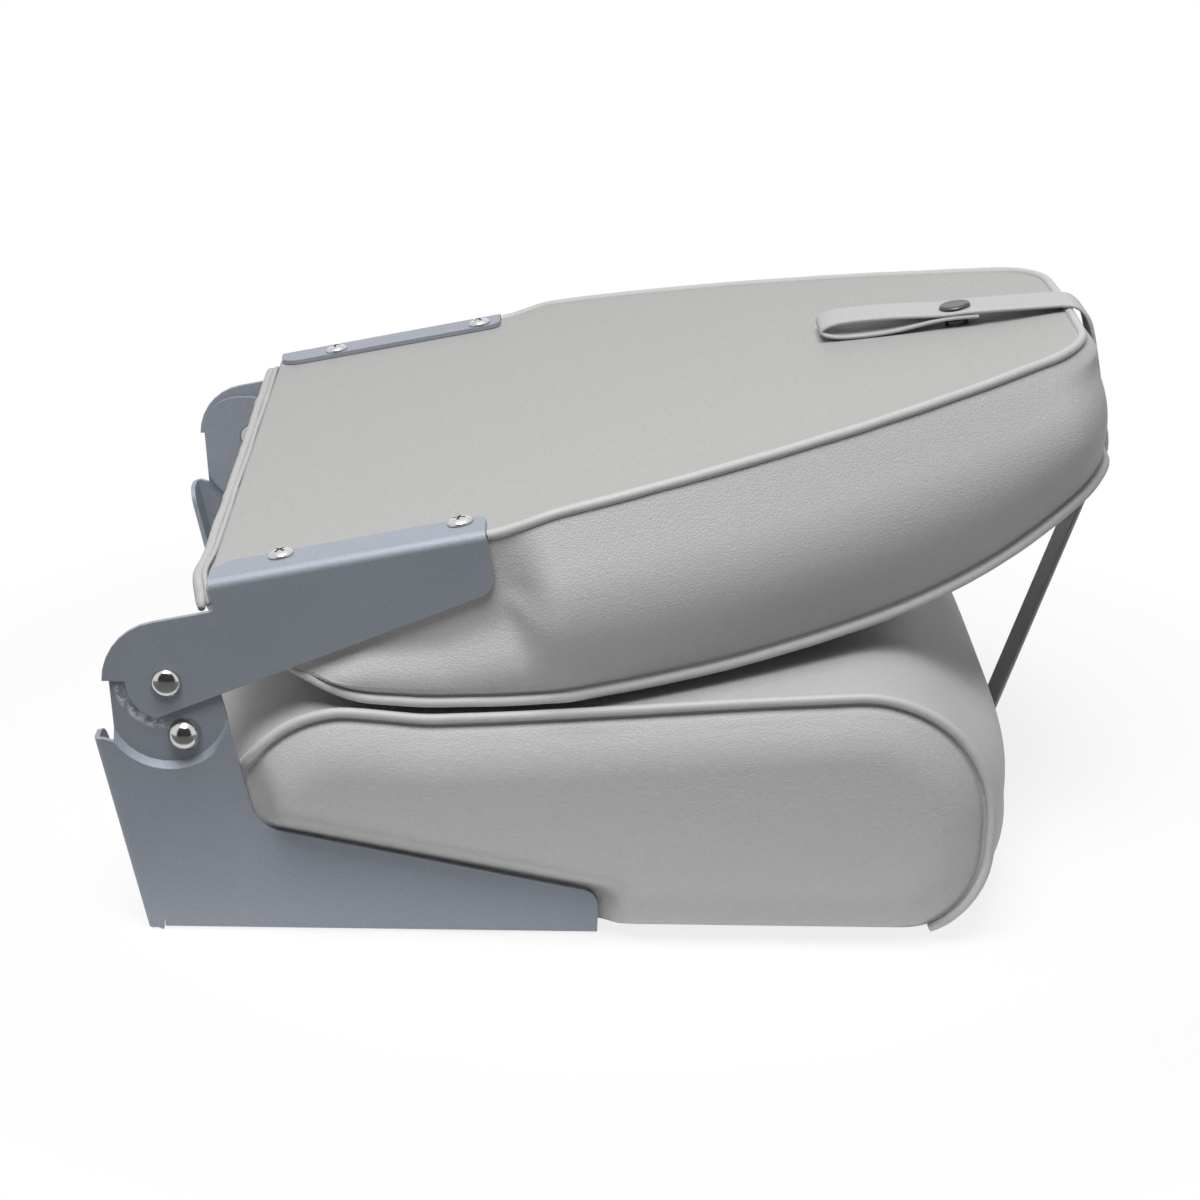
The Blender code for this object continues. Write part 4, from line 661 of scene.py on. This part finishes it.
def edge_lift(s):
    """Lift of the rear panel's sewn edge over the flange plane, most just past the arms."""
    risen = edge_up * ease((s - arm_length - edge_up_start) / edge_up_run)
    return risen * (1 - edge_up_less * ease((s - less_start) / less_run))


def back_loop(front):
    """Closed outline of the back's rear or front face, with its outward normals."""
    wider = front_wider if front else 0.0
    if front:
        start = [(front_start, front_start_half, 0), (front_full, back_half + wider, blend_r)]
    else:
        start = [(rear_start, back_half, 0)]
    top = [
        (taper_start, back_half + wider, blend_r),
        (taper_middle, span_half - middle_in + wider, middle_r),
        (back_length - back_bow, span_half - top_in + wider, top_r),
        (back_length, 0.0, 0),
    ]
    outline = np.array(rounded(start + top, closed=False))
    corner = back_length - back_bow - top_r
    first = outline[0]
    hinge_end = [(first[0], first[1] * f) for f in np.linspace(0, 1, hinge_points)[:-1]]
    stations = first[0] + (corner - first[0]) * np.linspace(0, 1, side_points)
    sides = list(zip(stations, np.interp(stations, outline[:, 0], outline[:, 1])))
    past_corner = outline[outline[:, 0] > corner + gap]
    end = evenly(np.vstack([[sides[-1]], past_corner]), end_points, closed=False)[1:]
    if front:
        end[:, 0] += end_bow * np.maximum(0.0, 1 - (end[:, 1] / (span_half - top_in)) ** 2)
    half = hinge_end + sides + [tuple(p) for p in end]
    loop = np.array(half + [(s, -y) for s, y in reversed(half[1:-1])])
    return loop, -normals_of(loop)


def hang(share):
    """Bulge of the boxing from seam to seam: straight by both seams, round between, 1 at its fullest."""
    full = share - hang_bend * np.maximum(share - hang_round, 0) ** 2
    return np.where(share < hang_straight, full, hang_fall * (1 - share)) / hang_most


rear_loop, rear_out = back_loop(False)
front_loop, front_out = back_loop(True)
rear_s, rear_y = rear_loop.T
front_depth = edge_depth(*front_loop.T)
arm_edge = panel_v + arm_low / math.cos(arm_taper) - (arm_rear + rear_s) * math.tan(arm_taper)
held = (1 - ease((rear_s - arm_length) / held_run)) * (np.abs(rear_y) > front_start_half)
low = np.minimum(arm_edge + arm_room, front_depth * held_most)
back_loops = []
near_rear = [(d, 0.0) for d in (0.0, 0.0012, 0.0024, 0.0040, 0.0065)]
near_front = [(-d, 1.0) for d in (0.0070, 0.0050, 0.0038, 0.0030, 0.0022, 0.0014, 0.0007, 0.0)]
for step, part_way in near_rear + [(0.0, f) for f in np.linspace(0.12, 0.90, 16)] + near_front:
    depth = cover_rear + step + (front_depth - cover_rear) * part_way
    share = (depth - cover_rear) / (front_depth - cover_rear)
    depth = depth - edge_lift(rear_s) * (1 - share)
    freed = ease((depth - low) / (front_depth - low))
    spread = share + (freed - share) * held
    bulge = end_swell * (1 - strap_flat * np.exp(-(((rear_y - strap_y) / strap_press) ** 2)))
    bulge = bulge + (box_swell - bulge) * rear_out[:, 1] ** 2
    swell = bulge * hang(share) * (1 + (spread - 1) * held)
    swell = swell + shoulder * rear_out[:, 0] ** 4 * np.exp(-(((share - shoulder_at) / shoulder_w) ** 2))
    swell = swell - seam_groove * np.exp(-(((front_depth - depth - groove_in) / groove_w) ** 2))
    swell = swell * ease((rear_s - box_start) / box_run)
    out = rear_out + (front_out - rear_out) * spread[:, None]
    out /= np.linalg.norm(out, axis=1)[:, None]
    at_hinge = 1 - ease((rear_s - rear_start) / hinge_run)
    at_hinge = at_hinge * (1 - ease((np.abs(rear_y) - hinge_half) / hinge_fade))
    s = rear_s + (front_loop[:, 0] - rear_s) * share**3 + out[:, 0] * swell
    s = s - hinge_end_swell * at_hinge * np.sin(math.pi * share) ** 0.7
    y = rear_y + (front_loop[:, 1] - rear_y) * spread + out[:, 1] * swell
    room = back_half + np.maximum(0.0, depth - arm_edge - arm_room * arm_ease)
    y = np.where(held > 0, np.sign(y) * (np.abs(y) + (np.minimum(np.abs(y), room) - np.abs(y)) * held), y)
    back_loops.append(back_place(s, y, -depth))
face_middle = np.array([back_length / 2, 0.0])
for scale in (0.985, 0.96, 0.93, 0.89, 0.84, 0.78, 0.7, 0.6, 0.49, 0.37, 0.25, 0.12):
    s, y = (face_middle + (front_loop - face_middle) * scale).T
    crown = back_crown + more_back_crown * ease((s - back_crown_start) / back_crown_run)
    depth = edge_depth(s, y) + crown * (1 - scale**3.2)
    back_loops.append(back_place(s, y, -depth))
for scale in (0.9, 0.6, 0.3):
    s, y = (face_middle + (rear_loop - face_middle) * scale).T
    back_loops.insert(0, back_place(s, y, -cover_rear + 0 * s))
back_cushion = skin("back_cushion", back_loops, vinyl_look)
subdivide(back_cushion)
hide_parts("back_cover", "back_foam")
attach(back_cushion, "backrest")

# Rear panel: a vinyl sheet over the back's board, clamped under the arms' flanges and sewn to the
# boxing with a welt, which lifts its edge a little past the arms.
panel_t = 0.0012
lift_start, lift_run = 0.8, 0.2

# Panel vinyl: the same colour with a fine canvas-like emboss, drawn at 1.2 mm so that it shows.
panel_look, tree, shader = start_material("canvas_embossed_vinyl", specular_ior_level=0.4, roughness=0.6)
place = add_node(tree, "TexCoord").outputs["Object"]
laid = add_node(tree, "Mapping", {"Vector": place, "Rotation": (0, slope, 0)})
weft = add_node(tree, "TexNoise", {"Vector": laid.outputs[0], "Scale": 1 / 0.0011, "Detail": 2.0})
dots = add_node(tree, "TexVoronoi", {"Vector": laid.outputs[0], "Scale": 1 / 0.0012})
blend = add_node(tree, "MixRGB", {0: 0.5, 1: weft.outputs["Fac"], 2: dots.outputs["Distance"]})
tint = add_node(tree, "MixRGB", {0: blend.outputs[0], 1: linear("#b3b3b2"), 2: linear("#9c9c9b")})
relief = add_node(tree, "Bump", {"Height": blend.outputs[0], "Strength": 0.2, "Distance": 0.0003})
tree.links.new(tint.outputs[0], shader.inputs["Base Color"])
tree.links.new(relief.outputs[0], shader.inputs["Normal"])

panel_loops = []
for scale in (0.4, 0.9, 1.0):
    s, y = (face_middle + (rear_loop - rear_out * gap - face_middle) * scale).T
    panel_loops.append(back_place(s, y, edge_lift(s) * (scale == 1.0) - panel_t))
for scale in (1.0, 0.985, 0.96, 0.92, 0.87, 0.8, 0.7, 0.58, 0.44, 0.3, 0.15):
    s, y = (face_middle + (rear_loop - rear_out * gap - face_middle) * scale).T
    lift = edge_lift(s) * ease((scale - lift_start) / lift_run)
    panel_loops.append(back_place(s, y, lift))
piece = skin("back_panel_sheet", panel_loops, panel_look)
subdivide(piece)
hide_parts("back_rear_panel")
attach(piece, "backrest")

# Back welts: the same corded beads, sewn in round the rear panel from arm to arm, and round the front
# panel.
arm_tuck, rear_welt_sunk = 0.0045, 0.0005
for name, loop, out, node in (
    ("back_welt_bead_rear", rear_loop, rear_out, "back_welt_rear"),
    ("back_welt_bead_front", front_loop, front_out, "back_welt_front"),
):
    front = loop is front_loop
    route = []
    for (s, y), normal in zip(loop, out):
        if front and s <= front_start + gap and abs(y) < front_start_half - gap:
            continue
        if not front and s < arm_length - arm_tuck:
            continue
        s = s if front else max(s, arm_length + 2 * gap)
        v = -edge_depth(s, y) - welt_sunk if front else edge_lift(s) - rear_welt_sunk
        reach = welt_sunk if front else -gap
        route.append(back_place(s + normal[0] * reach, y + normal[1] * reach, v))
    piece = bead(name, route, welt_look, welt_r)
    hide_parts(node)
    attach(piece, "backrest")

# Hem: the rear panel's hinge end, rolled round a draw cord and stapled to the board; a thick outer roll
# and a thin inner one run side by side from arm to arm.
hem_half, hem_steps, hem_sides, hem_flat = 0.1775, 140, 16, 0.92
hem_wander, hem_lumps = 0.0006, 0.10
gathers, gather_w, gather_more = (0.105, -0.050), 0.004, 0.25
slack_at, slack_w, slack_out = -0.155, 0.014, 0.0016
thin_run, thin_less = 0.004, 0.35
curl_run, curl_down = 0.016, 0.009


def roll(middle_s, middle_v, thick, seed):
    """Loops of one roll of the hem, lumpy, slack at one end and curled down at both."""
    loops = []
    for y in np.linspace(-hem_half, hem_half, hem_steps):
        wander = noise.noise_vector(Vector((y / 0.05, seed, 0.0))) * hem_wander
        lump = thick * (1 + hem_lumps * noise.noise(Vector((y / 0.02, seed, 5.0))))
        lump *= 1 + gather_more * sum(math.exp(-(((y - at) / gather_w) ** 2)) for at in gathers)
        lump *= 1 - thin_less * ease((abs(y) - hem_half + thin_run) / thin_run)
        slack = slack_out * math.exp(-(((y - slack_at) / slack_w) ** 2))
        curl = curl_down * ease((abs(y) - hem_half + curl_run) / curl_run) ** 2
        ring = []
        for t in np.linspace(0, 2 * math.pi, hem_sides + 1)[:-1]:
            s = middle_s - slack + wander.x + lump * math.cos(t)
            v = middle_v - curl + wander.y + lump * hem_flat * math.sin(t)
            ring.append(back_place(np.array(s), y, v))
        loops.append(ring)
    return loops


for name, middle_s, middle_v, thick, seed in (
    ("back_hem_inner", -0.0028, -0.0008, 0.0013, 1.0),
    ("back_hem_outer", -0.0063, -0.0022, 0.0026, 7.0),
):
    piece = skin(name, roll(middle_s, middle_v, thick, seed), vinyl_look)
    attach(piece, "backrest")
    if name == "back_hem_outer":
        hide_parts("back_hem")

# Arm screws: zinc truss-head wood screws with a cross recess, two through each arm's flange into the
# board.
head_r, head_h, head_edge, head_dome = 0.00585, 0.0030, 0.18, 0.82
screw_r, screw_tip, screw_facets = 0.0022, -0.0125, 40
screws_along, screw_in, flange_top = (0.0319, 0.1130), 0.0177, 0.0431
recess_size = (0.0058, 0.0013, 0.0032, 1)


def cross_cutter(place):
    """A cross that a driver bit fits."""
    bm = bmesh.new()
    for turn in (0.0, math.pi / 2):
        bar = place @ Matrix.Rotation(turn, 4, "Z") @ Matrix.Diagonal(recess_size)
        bmesh.ops.create_cube(bm, size=1.0, matrix=bar)
    mesh = bpy.data.meshes.new("cross_cutter")
    bm.to_mesh(mesh)
    bm.free()
    return add_piece("cross_cutter", mesh, None)


for side, side_word in ((1, "left"), (-1, "right")):
    for number, at in enumerate(screws_along, 1):
        top = back_place(np.array(at), side * (span_half - screw_in), flange_top - panel_v)
        place = Matrix.Translation(top) @ Matrix.Rotation(-slope, 4, "Y")
        quarter = np.linspace(0, math.pi / 2, 12)
        bow = [(head_r * math.sin(t), head_h * (head_edge + head_dome * math.cos(t))) for t in quarter]
        shank = [(head_r, gap), (screw_r, gap), (screw_r, screw_tip), (0, screw_tip)]
        piece = lathe(f"arm_screw_zinc_{side_word}_{number}", bow + shank, place, zinc_look, screw_facets)
        driven = Matrix.Rotation(math.radians(30 + 35 * number + 20 * side), 4, "Z")
        cutter = cross_cutter(place @ Matrix.Translation((0, 0, head_h)) @ driven)
        recess = piece.modifiers.new("recess", "BOOLEAN")
        recess.object = cutter
        recess.solver = "EXACT"
        recess.use_self = True
        bpy.context.view_layer.update()
        cut = bpy.data.meshes.new_from_object(piece.evaluated_get(bpy.context.evaluated_depsgraph_get()))
        piece.modifiers.clear()
        piece.data = cut
        cut.materials.clear()
        cut.materials.append(zinc_look)
        bpy.data.objects.remove(cutter)
        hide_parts(f"arm_screw_{side_word}_{number}")
        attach(piece, "backrest")

# Hold-down strap: vinyl folded double to 25 mm and sewn with four rows, screwed under the seat, drawn
# up to the back's top end, over it and back on itself as a pull loop. Both faces are the cushions' vinyl.
strap_w, strap_t, strap_skew = 0.025, 0.0020, math.tan(math.radians(14.6))
snap_back, cap_r, loop_back, loop_h, loop_low = 0.0534, 0.0078, 0.1204, 0.0092, 0.0019
stitch_rows, stitch_w, stitch_sunk = (0.0085, 0.0045, 0.0005, -0.0040), 0.0005, 0.0004
board_z = 0.0043
strap_low, strap_high = 0.0052, 0.0075
strap_start, bend_x, bend_r = rear_x + 0.290, rear_x + 0.3785, 0.028
knee_out, knee_down, per_span, joint_reach = 0.0086, 0.0690, 8, 0.006
up_the_end = ((-0.0090, -0.0500), (-0.0092, -0.0280), (-0.0090, -0.0120), (-0.0080, -0.0030))
over_the_rear = (
    (-0.0056, 0.0018),
    (-0.0022, 0.0047),
    (0.0030, 0.0058),
    (0.0110, 0.0062),
    (snap_back - cap_r, strap_high),
    (snap_back + cap_r, strap_high),
    ((snap_back + loop_back) / 2, loop_h),
    (loop_back - loop_h, loop_h),
    (loop_back, (loop_h + loop_low) / 2),
    (loop_back - loop_h, loop_low),
    ((snap_back + loop_back) / 2, loop_low),
    (snap_back + cap_r, strap_low),
    (snap_back - 0.010, strap_low),
)


def smooth_route(knots):
    """Points on a smooth curve through the knots of a strap's route."""
    knots = [np.array(k, float) for k in knots]
    ends = [2 * knots[0] - knots[1], *knots, 2 * knots[-1] - knots[-2]]
    points = []
    for a, b, c, d in zip(ends, ends[1:], ends[2:], ends[3:]):
        for f in np.linspace(0, 1, per_span + 1)[:-1]:
            bend = (2 * a - 5 * b + 4 * c - d) * f * f + (3 * b - a - 3 * c + d) * f**3
            points.append((2 * b + (c - a) * f + bend) / 2)
    return points + [knots[-1]]


def back_xz(back, v):
    """(x, z) at a distance short of the back's top end and a height over its rear face."""
    point = back_place(np.array(back_length - back), 0.0, v)
    return np.array([point[0], point[2]])


z_end, z_low = board_z - gap - strap_t / 2, seat_bottom - gap - strap_t / 2
x_drop = seat_front - turn_in_front
bend_middle = np.array([bend_x, z_low + bend_r])
knee = back_xz(-knee_out, -knee_down)
reach = knee - bend_middle
lean = math.atan2(reach[1], reach[0]) - math.acos(bend_r / np.linalg.norm(reach))
turns = np.linspace(-math.pi / 2, lean, 13)
bend = [bend_middle + bend_r * np.array([math.cos(t), math.sin(t)]) for t in turns]
under = [(strap_start, z_end), (x_drop - 3 * strap_t, z_end), (x_drop - strap_t, z_low)]
half_way = bend[-1] + (knee - bend[-1]) * 0.5
low_run = [np.array(p) for p in under] + bend + [half_way]
knots = [back_xz(back, v) for back, v in up_the_end + over_the_rear]
over = smooth_route([half_way, knee + (half_way - knee) * 0.2, knee, *knots])
split = 4 * per_span
mid_run, top_run = over[: split + 1], over[split:]


def ribbon(name, route, skewed_from):
    """A strap along (x, z) points: round edges, and its outer face sunk along the stitch rows."""
    route = evenly(np.array(route), max(24, int(len(route) * 1.5)), closed=False)
    out = normals_of(route, closed=False)
    edge = strap_t / 2
    across = np.linspace(edge - strap_w / 2, strap_w / 2 - edge, 61)
    sunk = sum(np.exp(-(((across - row) / stitch_w) ** 2)) for row in stitch_rows) * stitch_sunk
    bend = np.linspace(0, math.pi, 9)[1:-1]
    outer = list(zip(across, edge - sunk))
    far_edge = [(across[-1] + edge * math.sin(t), edge * math.cos(t)) for t in bend]
    inner = [(o, -edge) for o in across[::-6]]
    near_edge = [(across[0] - edge * math.sin(t), -edge * math.cos(t)) for t in bend]
    section = outer + far_edge + inner + near_edge
    loops = []
    for (x, z), n in zip(route, out):
        y = strap_y + max(0.0, skewed_from - x) * strap_skew / math.cos(slope)
        loops.append([(x + n[0] * h, y + o, z + n[1] * h) for o, h in section])
    piece = skin(name, loops, vinyl_look)
    piece.data.set_sharp_from_angle(angle=math.radians(50))
    return piece


never = -9.0
piece = ribbon("strap_seat_end", low_run, never)
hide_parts("strap_anchor", "strap_stretch")
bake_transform(piece)
piece = ribbon("strap_over_end", mid_run, never)
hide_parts("strap_wrap")
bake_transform(piece)
piece = ribbon("strap_pull_loop", top_run, back_xz(*up_the_end[-1])[0])
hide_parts("strap_tab")
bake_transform(piece)

# Snap cap: a pressed brass cap, 15.6 mm, blackened; with its socket it clamps the strap's two layers,
# and the socket snaps onto a stud in the back's rear panel.
cap_h, cap_facets, post_r = 0.0016, 48, 0.0017
cap_foot, post_foot = strap_high + strap_t / 2 + gap, strap_low - strap_t / 2 + gap
cap_shape = ((0, 0.92), (0.4, 0.95), (0.7, 1), (0.82, 0.98), (0.91, 0.86), (0.97, 0.62), (1, 0.3), (1, 0))

# Blackened brass: an oxide finish, dark and half glossy, brighter where the dome has been rubbed.
cap_look, tree, shader = start_material("blackened_brass", metallic=0.9)
place = add_node(tree, "TexCoord").outputs["Object"]
rubbed = add_node(tree, "TexNoise", {"Vector": place, "Scale": 1 / 0.003, "Detail": 4.0})
tone = add_node(tree, "MixRGB", {0: rubbed.outputs["Fac"], 1: linear("#464647"), 2: linear("#5c5c5d")})
gloss = add_node(tree, "MapRange", {"Value": rubbed.outputs["Fac"], "To Min": 0.25, "To Max": 0.42})
tree.links.new(tone.outputs[0], shader.inputs["Base Color"])
tree.links.new(gloss.outputs[0], shader.inputs["Roughness"])

for name in ("snap_stud", "snap_socket"):
    frame["nodes"][name].material_slots[0].material = cap_look

snap_s, snap_y = back_length - snap_back, strap_y + snap_back * strap_skew
place = Matrix.Translation(back_place(np.array(snap_s), snap_y, 0.0)) @ Matrix.Rotation(-slope, 4, "Y")
dome = [(r * cap_r, cap_foot + h * cap_h) for r, h in cap_shape]
post = [(post_r, cap_foot), (post_r, post_foot), (0, post_foot)]
piece = lathe("snap_cap_black", dome + post, place, cap_look, cap_facets)
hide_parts("snap_cap")
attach(piece, "strap_end")
